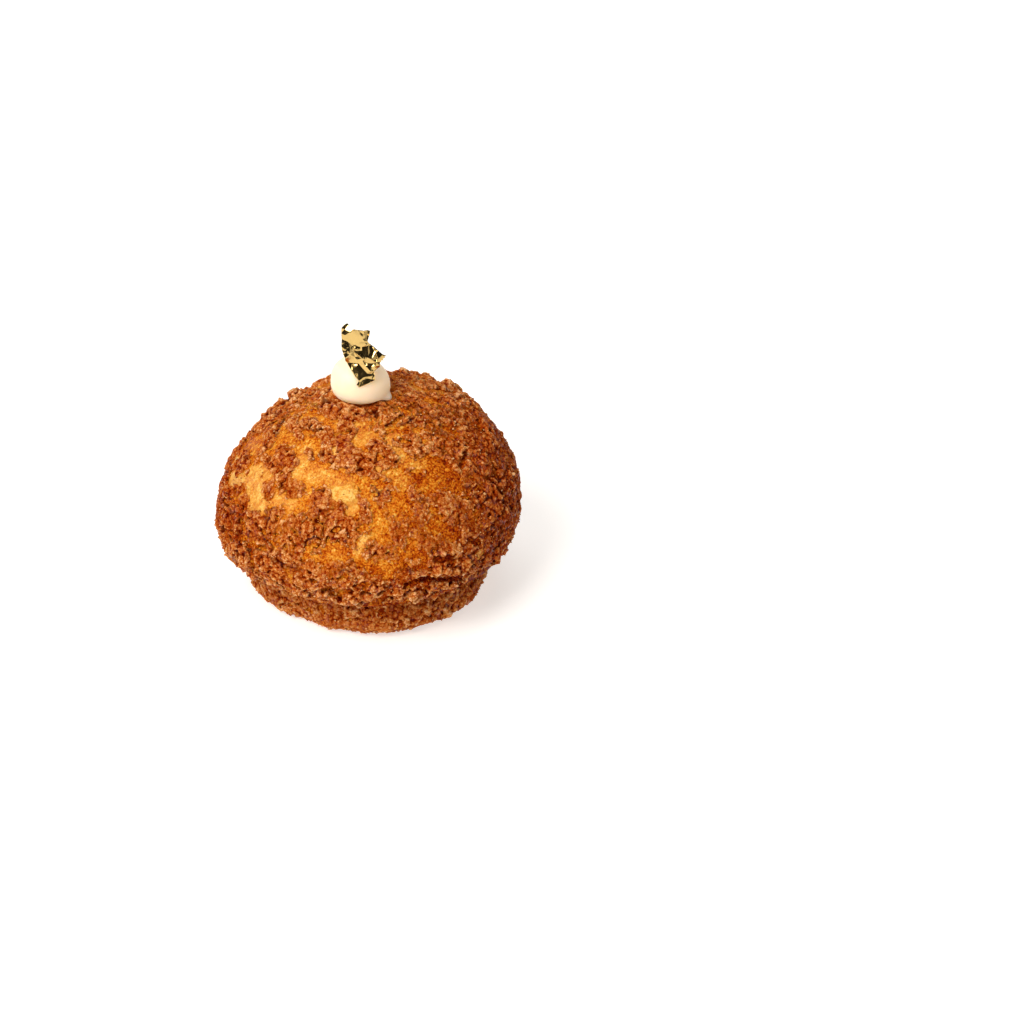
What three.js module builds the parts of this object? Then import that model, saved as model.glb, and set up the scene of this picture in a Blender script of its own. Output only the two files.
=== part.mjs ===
// A cream puff: one whole choux bun under a baked craquelin crust, with a small
// dollop of cream and a crumpled gold leaf on top. It stands on its own flat foot.
//
// Millimetres, +Z up, the foot flat on z = 0 and its centre on the origin. The
// side that faces the diner is -Y. An azimuth is in degrees from -Y towards +X.

import * as THREE from 'three';
import { mergeVertices } from 'three/addons/utils/BufferGeometryUtils.js';

// ---------------------------------------------------------------- dimensions

// The bun, without the small relief of its crust.
const BUN = {
  height: 53.9,
  bellyRadius: 37.9,
  bellyHeight: 21.2, // of the widest ring
  domeRoundness: 1.96, // 2 is an ellipse, more is fuller in the shoulders
  underside: [18.0, 16.0], // out and up, of the curve that turns the belly in
  lean: 4.9, // how far the crown stands to +X of the foot
};

// The foot that spread on the baking sheet, and the crease where the belly folds
// down over it.
const FOOT = {
  flatRadius: 21.0,
  radius: 28.0,
  widestHeight: 3.8,
  creaseRadius: 27.0,
  creaseHeight: 8.6,
  lipHeight: 9.6,
};

// How much higher the crease and the lip lie in front, where the belly sagged less:
// fully from one height to the next, and no more above the last.
const LIFT = { rise: 2.8, full: [9.0, 12.0], gone: 26.0 };

// How far the foot spread past its radius: azimuth and spread, all the way round.
const FOOT_SPREAD = [
  [-180, 1.0], [-110, 1.2], [-75, 1.6], [-60, 0.9], [-47, 0.0], [-37, -1.0], [-27, 0.2],
  [-18, 1.2], [-10, 0.3], [-3, 1.2], [4, 1.9], [15, 2.3], [34, 2.2], [50, 3.1], [60, 3.3],
  [75, 2.6], [110, 1.5], [180, 1.0],
];
const SPREAD = { full: 5.0, gone: 13.0, rim: 5.0 }; // heights, and the ring that spread

// The crust: plates of craquelin on the choux skin.
const CRUST = {
  plateSize: 9.0, // between the middles of neighbouring plates
  thickness: 1.1,
  thinnest: 0.35, // where it stretched most, as a share of the thickness
  plateSpread: 0.35, // how much thicker or thinner one plate is than another
  crackWidth: 0.24, // as a share of the plate size
  crumbSize: 3.4,
  crumbHeight: 0.36,
  swellSize: 20.0, // slow bulges of the whole bun
  swellHeight: 0.55,
  seed: 11,
};

// The front of the dome, where the crust stretched thin: its middle as azimuth and
// share of the profile's length in percent, and how far it reaches in both.
const THIN = { middle: [0, 69], reach: [70, 21] };

// Where the rising bun tore its crust and the smooth skin shows. Each is a streak
// from one azimuth and share of the profile to another, with half its width.
const SKIN_STREAKS = [
  { from: [-79, 77.3], to: [-61, 76.8], half: 1.4 },
  { from: [-67, 76.0], to: [-69, 69.0], half: 1.7 },
  { from: [-65, 66.0], to: [-51, 63.2], half: 2.6 },
  { from: [-64, 86.6], to: [-40, 87.0], half: 1.8 },
  { from: [-26, 87.6], to: [-7, 84.0], half: 2.7 },
  { from: [-46, 76.3], to: [-41, 71.5], half: 1.5 },
  { from: [-39, 73.4], to: [-14, 72.6], half: 2.4 },
  { from: [-5, 57.0], to: [-19, 55.2], half: 1.5 },
  { from: [12, 84.5], to: [14, 79.0], half: 2.0 },
  { from: [14, 78.5], to: [29, 76.3], half: 2.0 },
  { from: [35, 84.3], to: [53, 84.0], half: 1.2 },
];

// Plates that stayed whole and thick: both ends, half the width and the thickness.
const PLATES = [
  { from: [-62, 94.0], to: [-38, 94.3], half: 1.7, thick: 1.3 },
  { from: [-34, 87.3], to: [-27, 84.2], half: 2.1, thick: 1.0 },
  { from: [-67, 82.2], to: [-48, 82.0], half: 1.8, thick: 1.4 },
  { from: [-59, 74.0], to: [-49, 72.5], half: 2.6, thick: 1.3 },
  { from: [-18, 79.0], to: [-5, 77.5], half: 3.3, thick: 1.4 },
  { from: [-64, 57.5], to: [-56, 57.2], half: 2.4, thick: 1.4 },
  { from: [-50, 58.5], to: [-43, 57.0], half: 2.4, thick: 1.3 },
  { from: [2, 82.0], to: [8, 78.0], half: 2.6, thick: 1.3 },
  { from: [17, 83.0], to: [29, 82.8], half: 1.9, thick: 1.1 },
  { from: [31, 79.2], to: [45, 78.6], half: 1.8, thick: 1.1 },
  { from: [49, 73.0], to: [60, 73.5], half: 1.9, thick: 1.2 },
  { from: [29, 50.4], to: [44, 49.6], half: 1.8, thick: 1.9 },
  { from: [13, 44.2], to: [20, 43.0], half: 2.0, thick: 1.7 },
  { from: [27, 45.5], to: [36, 43.0], half: 2.4, thick: 1.8 },
  { from: [-8, 43.0], to: [6, 42.0], half: 2.4, thick: 1.8 },
  { from: [-26, 45.5], to: [-16, 44.5], half: 2.4, thick: 1.6 },
  { from: [-42, 49.5], to: [-32, 47.5], half: 2.6, thick: 1.5 },
  { from: [-58, 50.0], to: [-50, 48.0], half: 2.5, thick: 1.5 },
  { from: [-128, 73.5], to: [-114, 70.0], half: 3.0, thick: 2.0 },
  { from: [-158, 81.0], to: [-140, 78.5], half: 2.6, thick: 1.8 },
  { from: [148, 80.0], to: [158, 81.5], half: 2.6, thick: 1.9 },
  { from: [128, 73.0], to: [135, 75.5], half: 2.4, thick: 1.8 },
];

// The same tearing round the back, drawn by chance: how many, from which azimuth
// and share on, over what range, how long and how wide.
const BACK_STREAKS = {
  count: 16, first: 0, azimuth: [72, 210], share: [55, 31], length: [7, 10], half: [1.2, 1.6],
};
const BACK_PLATES = {
  count: 22, first: 100, azimuth: [66, 215], share: [46, 42], length: [3, 5], half: [1.3, 1.3],
};
const BACK_THICKNESS = [1.0, 0.5];
const BACK_HIGHEST_SHARE = 93;
const BACK_SEED = 5;

// A thin blister of choux that swelled through the crust.
const BLISTER = { place: [-11.5, 70.2], radius: 3.0, rise: 0.9 };

// The crust ends in a rim on the belly's underside, and the choux is tucked in
// below it: azimuth, height of the rim and depth of the tuck, all the way round.
const RIM = [
  [-180, 14.0, 1.2], [-140, 15.5, 1.2], [-105, 13.5, 0.8], [-80, 12.5, 0.6], [-60, 13.5, 0.8],
  [-45, 14.8, 1.0], [-34, 14.6, 1.0], [-28, 13.8, 1.0], [-14, 13.6, 1.0], [0, 14.4, 1.2],
  [8, 14.2, 1.6], [12, 13.4, 2.0], [34, 13.6, 2.2], [40, 15.5, 2.2], [52, 16.5, 2.0],
  [62, 14.5, 1.8], [75, 13.5, 1.4], [110, 13.5, 1.2], [150, 15.5, 1.2], [180, 14.0, 1.2],
];
const TUCK = { edge: 1.6, reach: 3.4 };

const CREAM = {
  radius: 7.4,
  halfHeight: 5.4,
  sink: 1.3, // how much of its height the crust's curve takes
  centre: [-0.2, -0.8], // where it sits on the crown, X and Y
  // Its left side stands higher, above its sunk base; in shares of its radius.
  heel: { rise: 1.3, start: 0.6, reach: 1.3, base: -0.8, baseReach: 0.9 },
  tail: 1.7, // the small point left by the piping nozzle
  tailAzimuth: 74,
  tailDrop: 0.62,
  tailSpread: 0.04,
  seat: 0.35, // the crust's thickness under it
};

const LEAF = {
  length: 17.5,
  thickness: 0.34,
  crumple: 0.55, // height of its creases
  creaseSize: 3.2,
  rows: 12,
  columns: 9,
  seed: 3,
};

// Neighbouring pieces stay this far apart.
const GAP = 0.32;

const PUFF_DETAIL = 21; // a sphere of 20 * (detail + 1)^2 triangles
const CREAM_DETAIL = 6;

// ------------------------------------------------------------ chance and noise

// A repeatable number from 0 to 1 for each whole-number place.
function chance(x, y, z, seed) {
  let h = Math.imul(x, 374761393) ^ Math.imul(y, 668265263);
  h ^= Math.imul(z, 1440662683) ^ Math.imul(seed, 1274126177);
  h = Math.imul(h ^ (h >>> 13), 1103515245);
  h = Math.imul(h ^ (h >>> 15), 668265263);
  return ((h ^ (h >>> 16)) >>> 0) / 4294967296;
}

function smooth(t) {
  const c = Math.min(Math.max(t, 0), 1);
  return c * c * (3 - 2 * c);
}

// A soft bumpy field from -1 to 1, with bumps of the given size.
function ripple(point, size, seed) {
  const place = point.map((v) => v / size);
  const cell = place.map(Math.floor);
  const t = place.map((v, i) => smooth(v - cell[i]));
  let sum = 0;
  for (let corner = 0; corner < 8; corner += 1) {
    const step = [corner & 1, (corner >> 1) & 1, corner >> 2];
    const weight = step.reduce((w, s, i) => w * (s ? t[i] : 1 - t[i]), 1);
    sum += weight * chance(cell[0] + step[0], cell[1] + step[1], cell[2] + step[2], seed);
  }
  return sum * 2 - 1;
}

// The plate that a point lies on: how far inside it the point is, as a share of
// the plate size, and the plate's own random number.
function plateAt(point, size, seed) {
  const place = point.map((v) => v / size);
  const cell = place.map(Math.floor);
  let nearest = Infinity;
  let second = Infinity;
  let own = 0;
  for (let n = 0; n < 27; n += 1) {
    const [x, y, z] = [(n % 3) - 1, (Math.floor(n / 3) % 3) - 1, Math.floor(n / 9) - 1].map(
      (step, i) => cell[i] + step,
    );
    const distance = Math.hypot(
      x + chance(x, y, z, seed) - place[0],
      y + chance(x, y, z, seed + 1) - place[1],
      z + chance(x, y, z, seed + 2) - place[2],
    );
    if (distance < nearest) {
      second = nearest;
      nearest = distance;
      own = chance(x, y, z, seed + 3);
    } else if (distance < second) {
      second = distance;
    }
  }
  return { inside: second - nearest, own };
}

// ------------------------------------------------------------ the bun's profile

const DEGREE = Math.PI / 180;

// Radius and height from the middle of the foot, out and up to the crown.
function profilePoints() {
  const points = [new THREE.Vector2(0, 0)];
  const quarter = (steps, place) => {
    for (let i = 1; i <= steps; i += 1) {
      const a = (i / steps) * (Math.PI / 2);
      points.push(place(Math.sin(a), 1 - Math.cos(a), i / steps));
    }
  };
  const mix = THREE.MathUtils.lerp;
  quarter(24, (out, up, t) => new THREE.Vector2(FOOT.flatRadius * t, 0));
  quarter(24, (out, up) => new THREE.Vector2(
    mix(FOOT.flatRadius, FOOT.radius, out),
    FOOT.widestHeight * up,
  ));
  quarter(24, (out, up, t) => new THREE.Vector2(
    mix(FOOT.radius, FOOT.creaseRadius, smooth(t)),
    mix(FOOT.widestHeight, FOOT.creaseHeight, t),
  ));
  const [undersideOut, undersideUp] = BUN.underside;
  const lipTurn = Math.asin((BUN.bellyHeight - FOOT.lipHeight) / undersideUp);
  const undersideAt = (turn) => new THREE.Vector2(
    BUN.bellyRadius - undersideOut * (1 - Math.cos(turn)),
    BUN.bellyHeight - undersideUp * Math.sin(turn),
  );
  const lipRadius = undersideAt(lipTurn).x;
  quarter(12, (out, up) => new THREE.Vector2(
    mix(FOOT.creaseRadius, lipRadius, out),
    mix(FOOT.creaseHeight, FOOT.lipHeight, up),
  ));
  quarter(36, (out, up, t) => undersideAt(lipTurn * (1 - t)));
  const power = 2 / BUN.domeRoundness;
  quarter(120, (out, up) => new THREE.Vector2(
    BUN.bellyRadius * Math.max(1 - up, 0) ** power,
    mix(BUN.bellyHeight, BUN.height, out ** power),
  ));
  return points;
}

const PROFILE = profilePoints();
const LENGTHS = PROFILE.reduce((sums, point, i) => {
  sums.push(i ? sums[i - 1] + point.distanceTo(PROFILE[i - 1]) : 0);
  return sums;
}, []);
const PROFILE_LENGTH = LENGTHS[LENGTHS.length - 1];

// The profile at a share of its length, from 0 at the foot to 1 at the crown.
function profileAt(share) {
  const wanted = Math.min(Math.max(share, 0), 1) * PROFILE_LENGTH;
  const next = Math.max(LENGTHS.findIndex((length) => length >= wanted), 1);
  const t = (wanted - LENGTHS[next - 1]) / (LENGTHS[next] - LENGTHS[next - 1]);
  return PROFILE[next - 1].clone().lerp(PROFILE[next], t);
}

function leanAt(height) {
  return BUN.lean * Math.max(height / BUN.height, 0) ** 1.5;
}

// The other numbers of a list at an azimuth, between the entries on both sides.
function aroundAt(list, azimuth) {
  const degrees = THREE.MathUtils.euclideanModulo(azimuth / DEGREE + 180, 360) - 180;
  const next = Math.max(list.findIndex((entry) => entry[0] >= degrees), 1);
  const [before, after] = [list[next - 1], list[next]];
  const t = (degrees - before[0]) / (after[0] - before[0]);
  return before.slice(1).map((v, i) => THREE.MathUtils.lerp(v, after[i + 1], t));
}

// How much the sagging front raised the crease and the belly's lip there.
function liftAt(azimuth, height) {
  const front = smooth((Math.cos(azimuth) - 0.2) / 0.5);
  const below = smooth(height / LIFT.full[0]);
  const above = smooth((height - LIFT.full[1]) / (LIFT.gone - LIFT.full[1]));
  return LIFT.rise * front * below * (1 - above);
}

function spreadAt(azimuth, radius, height) {
  const [spread] = aroundAt(FOOT_SPREAD, azimuth);
  const above = smooth((height - SPREAD.full) / (SPREAD.gone - SPREAD.full));
  return spread * smooth((radius - FOOT.flatRadius) / SPREAD.rim) * (1 - above);
}

// A point of the smooth bun, before the crust's relief.
function bunPoint(azimuth, share) {
  const { x: radius, y: level } = profileAt(share);
  const height = level + liftAt(azimuth, level);
  const wide = radius + spreadAt(azimuth, radius, level);
  return [wide * Math.sin(azimuth) + leanAt(height), -wide * Math.cos(azimuth), height];
}

function bunNormal(azimuth, share) {
  const reach = 0.006;
  const along = profileAt(share + reach).sub(profileAt(share - reach)).normalize();
  return [along.y * Math.sin(azimuth), -along.y * Math.cos(azimuth), -along.x];
}

// The smooth crown's height above a place on the plan.
function crownHeight(x, y) {
  let height = BUN.height;
  for (let i = 0; i < 12; i += 1) {
    const radius = Math.hypot(x - leanAt(height), y);
    const across = Math.min(radius / BUN.bellyRadius, 1) ** BUN.domeRoundness;
    const up = (1 - across) ** (1 / BUN.domeRoundness);
    height = THREE.MathUtils.lerp(BUN.bellyHeight, BUN.height, up);
  }
  return height;
}

// ---------------------------------------------------------------- the crust

function placeOnBun([azimuth, share]) {
  return bunPoint(azimuth * DEGREE, share / 100);
}

// Lines on the back of the bun, each with its own chance numbers.
function backLines({ count, first, azimuth, share, length, half }) {
  return Array.from({ length: count }, (unused, i) => {
    const draw = (n) => chance(first + i, n, 0, BACK_SEED);
    const start = azimuth[0] + (azimuth[1] * (i + 0.8 * draw(1))) / count;
    const low = share[0] + share[1] * draw(2);
    const long = length[0] + length[1] * draw(3);
    const turn = draw(4) * Math.PI;
    const across = ((long * Math.cos(turn)) / BUN.bellyRadius) / DEGREE;
    return {
      from: [start, low],
      to: [start + across, Math.min(low + long * Math.sin(turn) * 0.5, BACK_HIGHEST_SHARE)],
      half: half[0] + half[1] * draw(5),
      thick: BACK_THICKNESS[0] + BACK_THICKNESS[1] * draw(6),
    };
  });
}

function onBun(line) {
  return {
    ...line,
    start: new THREE.Vector3(...placeOnBun(line.from)),
    end: new THREE.Vector3(...placeOnBun(line.to)),
  };
}

const STREAK_LINES = [...SKIN_STREAKS, ...backLines(BACK_STREAKS)].map(onBun);
const PLATE_LINES = [...PLATES, ...backLines(BACK_PLATES)].map(onBun);

// How far inside a line's width a point lies, less than 0 outside it.
function insideLine(point, { start, end, half }) {
  const here = new THREE.Vector3(...point);
  const nearest = new THREE.Vector3();
  new THREE.Line3(start, end).closestPointToPoint(here, true, nearest);
  return half - here.distanceTo(nearest);
}

// The crust's thickness: thin on the front of the dome, cracked into plates, gone
// where the skin is bare and full where a plate stayed whole, with ragged edges.
function crustThickness(azimuth, share, point) {
  const ragged = 1.2 * ripple(point, 3.4, 21) + 0.9 * ripple(point, 1.7, 22);
  const across = (azimuth / DEGREE - THIN.middle[0]) / THIN.reach[0];
  const up = (share * 100 - THIN.middle[1]) / THIN.reach[1];
  const stretched = 1 - smooth((Math.hypot(across, up) - 0.75) / 0.5);
  const spread = 1 - (1 - CRUST.thinnest) * stretched;
  const plate = plateAt(point, CRUST.plateSize, CRUST.seed + 10);
  const uneven = 1 + CRUST.plateSpread * (plate.own - 0.5) * 2;
  const whole = 0.45 + 0.55 * smooth(plate.inside / CRUST.crackWidth);
  const crumb = CRUST.crumbHeight * ripple(point, CRUST.crumbSize, CRUST.seed + 20);
  let crust = CRUST.thickness * spread * uneven * whole;
  for (const line of STREAK_LINES) {
    crust *= 1 - smooth((insideLine(point, line) + ragged) / 1.2 + 0.5);
  }
  for (const line of PLATE_LINES) {
    const covered = smooth((insideLine(point, line) + 0.7 * ragged) / 0.9 + 0.5);
    crust = Math.max(crust, line.thick * covered);
  }
  return crust + crumb * Math.min(crust, 1);
}

// How deep the choux is tucked in below the crust's rim.
function tuckDepth(azimuth, height) {
  const [rim, depth] = aroundAt(RIM, azimuth);
  const below = rim - height;
  return depth * smooth(below / TUCK.edge + 0.5) * smooth(1 - below / TUCK.reach);
}

// How far the real surface stands off the smooth bun.
function relief(azimuth, share, point) {
  const height = point[2];
  const swell = CRUST.swellHeight * ripple(point, CRUST.swellSize, CRUST.seed);
  const crust = crustThickness(azimuth, share, point);
  const blister = placeOnBun(BLISTER.place);
  const offCentre = Math.hypot(...point.map((v, i) => v - blister[i])) / BLISTER.radius;
  const bulge = BLISTER.rise * smooth(1 - offCentre ** 2);

  // Level under the cream, quiet in the crease, gone on the flat of the foot.
  const fromCream = Math.hypot(point[0] - CREAM.centre[0], point[1] - CREAM.centre[1]);
  const underCream = height > BUN.bellyHeight
    ? 1 - smooth((fromCream - CREAM.radius) / 2.5)
    : 0;
  const overCrease = height - FOOT.creaseHeight - liftAt(azimuth, FOOT.creaseHeight);
  const inCrease = overCrease < 3 ? 1 - smooth(Math.abs(overCrease - 0.6) / 2.0) : 0;
  const offFloor = smooth(height / 3);
  const free = swell + crust + bulge - tuckDepth(azimuth, height);
  const quiet = free * (1 - 0.85 * inCrease);
  return (quiet * (1 - underCream) + CREAM.seat * underCream) * offFloor;
}

// ---------------------------------------------------------------- the pieces

// A closed sphere of even triangles, with only positions.
function plainSphere(detail) {
  const sphere = new THREE.IcosahedronGeometry(1, detail);
  sphere.deleteAttribute('normal');
  sphere.deleteAttribute('uv');
  return mergeVertices(sphere, 1e-5);
}

function reshape(geometry, place) {
  const positions = geometry.getAttribute('position');
  for (let i = 0; i < positions.count; i += 1) {
    const from = new THREE.Vector3().fromBufferAttribute(positions, i);
    positions.setXYZ(i, ...place(from));
  }
  geometry.computeVertexNormals();
  return geometry;
}

function puffGeometry() {
  return reshape(plainSphere(PUFF_DETAIL), (direction) => {
    const share = Math.acos(THREE.MathUtils.clamp(-direction.z, -1, 1)) / Math.PI;
    const azimuth = Math.atan2(direction.x, -direction.y);
    const point = bunPoint(azimuth, share);
    const normal = bunNormal(azimuth, share);
    const off = relief(azimuth, share, point);
    return [
      point[0] + normal[0] * off,
      point[1] + normal[1] * off,
      Math.max(point[2] + normal[2] * off, 0),
    ];
  });
}

const CREAM_HEIGHT = crownHeight(...CREAM.centre) + CREAM.halfHeight - CREAM.sink;

function creamGeometry() {
  const tailWay = new THREE.Vector3(
    Math.sin(CREAM.tailAzimuth * DEGREE),
    -Math.cos(CREAM.tailAzimuth * DEGREE),
    -CREAM.tailDrop,
  ).normalize();
  const { heel } = CREAM;
  return reshape(plainSphere(CREAM_DETAIL), (direction) => {
    const uneven = 1 + 0.03 * ripple(direction.toArray(), 0.9, 31);
    const tail = CREAM.tail * Math.exp(-(direction.angleTo(tailWay) ** 2) / CREAM.tailSpread);
    const leftward = smooth((heel.start - direction.x) / heel.reach);
    const upward = smooth((direction.z - heel.base) / heel.baseReach);
    const out = CREAM.radius * uneven + tail;
    const x = CREAM.centre[0] + direction.x * out;
    const y = CREAM.centre[1] + direction.y * out;
    const z = CREAM_HEIGHT + direction.z * (CREAM.halfHeight * uneven + tail)
      + heel.rise * leftward * upward;
    return [x, y, Math.max(z, crownHeight(x, y) + CREAM.seat + GAP)];
  });
}

// The leaf clings to the front of the cream and then stands free above it. Its
// middle line is a curve in Y and Z from the cream's middle.
const LEAF_LINE = new THREE.CatmullRomCurve3([
  new THREE.Vector3(0, -7.6, 2.15),
  new THREE.Vector3(0, -6.6, 3.88),
  new THREE.Vector3(0, -5.6, 5.61),
  new THREE.Vector3(0, -4.5, 8.4),
  new THREE.Vector3(0, -3.6, 12.0),
  new THREE.Vector3(0, -2.8, 16.3),
  new THREE.Vector3(0, -2.6, 17.4),
]);

// Its left and right edges, in X from the cream's middle, up its length.
const LEAF_LEFT = [-0.4, -0.3, -0.7, -1.55, -2.4, -3.0, -3.45, -3.9, -4.05, -4.0, -4.05, -4.0, -2.9];
const LEAF_RIGHT = [0.3, 2.5, 4.0, 3.85, 5.2, 5.5, 6.7, 4.9, 3.2, 2.4, 2.8, -0.8, -2.5];

function along(values, t) {
  const place = THREE.MathUtils.clamp(t, 0, 1) * (values.length - 1);
  const index = Math.min(Math.floor(place), values.length - 2);
  return THREE.MathUtils.lerp(values[index], values[index + 1], place - index);
}

// A sheet of rows and columns given a thickness, with its four edges closed.
function leafGeometry() {
  const { rows, columns, thickness } = LEAF;
  const front = [];
  const back = [];
  for (let row = 0; row <= rows; row += 1) {
    for (let column = 0; column <= columns; column += 1) {
      const up = row / rows;
      const across = column / columns;
      const line = LEAF_LINE.getPointAt(up);
      const way = LEAF_LINE.getTangentAt(up);
      const x = THREE.MathUtils.lerp(along(LEAF_LEFT, up), along(LEAF_RIGHT, up), across);
      const normal = new THREE.Vector3(0, -way.z, way.y);
      const free = smooth((up - 0.25) / 0.3);
      const creases = ripple([x, up * LEAF.length, 0], LEAF.creaseSize, LEAF.seed);
      const off = LEAF.crumple * (creases * (0.35 + 0.65 * free) + 0.35 * (1 - free));
      // Where it clings, it bends back round the cream on both sides.
      const wrap = ((x - 1) ** 2 / (2.6 * CREAM.radius)) * (1 - free);
      const middle = new THREE.Vector3(CREAM.centre[0] + x, CREAM.centre[1], CREAM_HEIGHT)
        .add(new THREE.Vector3(0, line.y + wrap, line.z))
        .addScaledVector(normal, off);
      front.push(middle.clone().addScaledVector(normal, thickness / 2));
      back.push(middle.clone().addScaledVector(normal, -thickness / 2));
    }
  }
  const points = [...front, ...back];
  const at = (row, column) => row * (columns + 1) + column;
  const behind = front.length;
  const faces = [];
  for (let row = 0; row < rows; row += 1) {
    for (let column = 0; column < columns; column += 1) {
      const [a, b] = [at(row, column), at(row, column + 1)];
      const [c, d] = [at(row + 1, column + 1), at(row + 1, column)];
      faces.push([a, b, c], [a, c, d]);
      faces.push([behind + a, behind + c, behind + b], [behind + a, behind + d, behind + c]);
    }
  }
  const close = (a, b) => {
    faces.push([b, a, behind + a], [b, behind + a, behind + b]);
  };
  for (let column = 0; column < columns; column += 1) {
    close(at(0, column), at(0, column + 1));
    close(at(rows, column + 1), at(rows, column));
  }
  for (let row = 0; row < rows; row += 1) {
    close(at(row + 1, 0), at(row, 0));
    close(at(row, columns), at(row + 1, columns));
  }
  const geometry = new THREE.BufferGeometry().setFromPoints(points);
  geometry.setIndex(faces.flat());
  geometry.computeVertexNormals();
  return geometry;
}

// ---------------------------------------------------------------- the model

function piece(name, geometry, color, roughness, metalness) {
  const material = new THREE.MeshStandardMaterial({ color, roughness, metalness });
  const mesh = new THREE.Mesh(geometry, material);
  mesh.name = name;
  return mesh;
}

const creamPuff = new THREE.Group();
creamPuff.name = 'cream_puff';
creamPuff.add(
  piece('choux_puff', puffGeometry(), 0xb9692e, 0.75, 0),
  piece('cream_dollop', creamGeometry(), 0xfdf2da, 0.45, 0),
  piece('gold_leaf', leafGeometry(), 0xe0b868, 0.2, 1),
);

export default creamPuff;
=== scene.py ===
import math

import bpy
import numpy as np
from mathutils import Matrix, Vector
from mathutils.geometry import delaunay_2d_cdt


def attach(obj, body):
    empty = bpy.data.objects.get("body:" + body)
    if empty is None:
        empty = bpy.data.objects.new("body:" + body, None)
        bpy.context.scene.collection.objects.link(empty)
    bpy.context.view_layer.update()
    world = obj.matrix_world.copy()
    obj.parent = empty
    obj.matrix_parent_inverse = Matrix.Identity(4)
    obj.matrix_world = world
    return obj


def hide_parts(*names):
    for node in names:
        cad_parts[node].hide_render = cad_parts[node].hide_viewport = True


# A cream puff with a craquelin crust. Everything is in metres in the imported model's
# frame: +Z up, the diner's side is -Y, the foot's middle on the origin.
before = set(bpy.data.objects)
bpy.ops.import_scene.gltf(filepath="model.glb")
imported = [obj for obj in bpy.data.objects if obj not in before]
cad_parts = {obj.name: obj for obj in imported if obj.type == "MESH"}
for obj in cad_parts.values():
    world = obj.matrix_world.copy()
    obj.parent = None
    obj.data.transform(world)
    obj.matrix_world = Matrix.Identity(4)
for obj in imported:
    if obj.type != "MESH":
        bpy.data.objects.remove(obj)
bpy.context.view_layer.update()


# ---------------------------------------------------------------------------- camera
# The viewer looks down on the puff by 31 degrees, square to its front, with a long
# lens. The puff stands left of the picture's middle.
PICTURE = 1024
MM = 0.001
PIXEL = 0.2565 * MM
FOOT_IN_PICTURE = (366.5, 577.8)
LOOK_DOWN = math.radians(31.0)
DISTANCE = 0.8
SENSOR = 36.0

look = Vector((0, math.cos(LOOK_DOWN), -math.sin(LOOK_DOWN)))
picture_up = Vector((0, math.sin(LOOK_DOWN), math.cos(LOOK_DOWN)))
aim = Vector((1, 0, 0)) * (PICTURE / 2 - FOOT_IN_PICTURE[0]) * PIXEL
aim += picture_up * (FOOT_IN_PICTURE[1] - PICTURE / 2) * PIXEL

camera_data = bpy.data.cameras.new("camera")
camera_data.sensor_width = SENSOR
camera_data.lens = SENSOR * DISTANCE / (PICTURE * PIXEL)
camera = bpy.data.objects.new("camera", camera_data)
camera.location = aim - look * DISTANCE
camera.rotation_euler = (math.radians(90) - LOOK_DOWN, 0, 0)
bpy.context.collection.objects.link(camera)
bpy.context.scene.camera = camera
bpy.context.scene.view_settings.view_transform = "Standard"


# ---------------------------------------------------------------------------- studio
# A white table under a large soft light from the upper left, weaker ones from above
# and from the right, and white walls. The room is dim behind the viewer, which the
# gold reflects as dark, and the table glows a little, as paper lit from below does.
def linear(hex_colour):
    """An sRGB hex colour as linear red, green, blue and alpha."""
    parts = [int(hex_colour[i:i + 2], 16) / 255 for i in (1, 3, 5)]
    return [c / 12.92 if c <= 0.04045 else ((c + 0.055) / 1.055) ** 2.4 for c in parts] + [1.0]


def add_node(tree, kind, settings=None, sockets=None, stops=None):
    """Adds a node, with its settings, and each socket a value or another node's output."""
    made = tree.nodes.new(kind)
    for name, value in (settings or {}).items():
        setattr(made, name, value)
    for name, value in (sockets or {}).items():
        if isinstance(value, bpy.types.NodeSocket):
            tree.links.new(value, made.inputs[name])
        else:
            made.inputs[name].default_value = value
    for i, (place, colour) in enumerate(stops or []):
        ramp = made.color_ramp.elements
        stop = ramp[i] if i < 2 else ramp.new(place)
        stop.position = place
        stop.color = colour
    return made


def new_material(name):
    """An empty node material and its tree."""
    material = bpy.data.materials.new(name)
    material.use_nodes = True
    material.node_tree.nodes.clear()
    return material, material.node_tree


def math_node(tree, operation, first, second=0.0, third=0.0):
    """A sum or product of up to three numbers or sockets, as a socket."""
    made = add_node(tree, "ShaderNodeMath", {"operation": operation}, {0: first, 1: second, 2: third})
    return made.outputs["Value"]


def range_node(tree, value, low, high, to_low, to_high, kind="LINEAR"):
    """A value carried over from one range to another, as a socket."""
    made = add_node(tree, "ShaderNodeMapRange", {"interpolation_type": kind}, {
        "Value": value, "From Min": low, "From Max": high, "To Min": to_low, "To Max": to_high,
    })
    return made.outputs["Result"]


def step_node(tree, value, low, high, to_low=0.0, to_high=1.0):
    """A soft step of a value between two others, as a socket."""
    return range_node(tree, value, low, high, to_low, to_high, "SMOOTHSTEP")


def select_only(*pieces):
    """Deselects everything, then selects these, with the first one active."""
    bpy.ops.object.select_all(action="DESELECT")
    for piece in pieces:
        piece.select_set(True)
    bpy.context.view_layer.objects.active = pieces[0]


LIT_HEIGHT = 30 * MM


def area_light(name, place, size, power, colour):
    """A square soft box, at a place in metres, that faces the middle of the puff."""
    data = bpy.data.lights.new(name, "AREA")
    data.energy = power
    data.color = linear(colour)[:3]
    data.shape = "SQUARE"
    data.size = size
    lamp = bpy.data.objects.new(name, data)
    lamp.location = place
    lamp.rotation_euler = (Vector((0, 0, LIT_HEIGHT)) - lamp.location).to_track_quat("-Z", "Y").to_euler()
    bpy.context.collection.objects.link(lamp)


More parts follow.
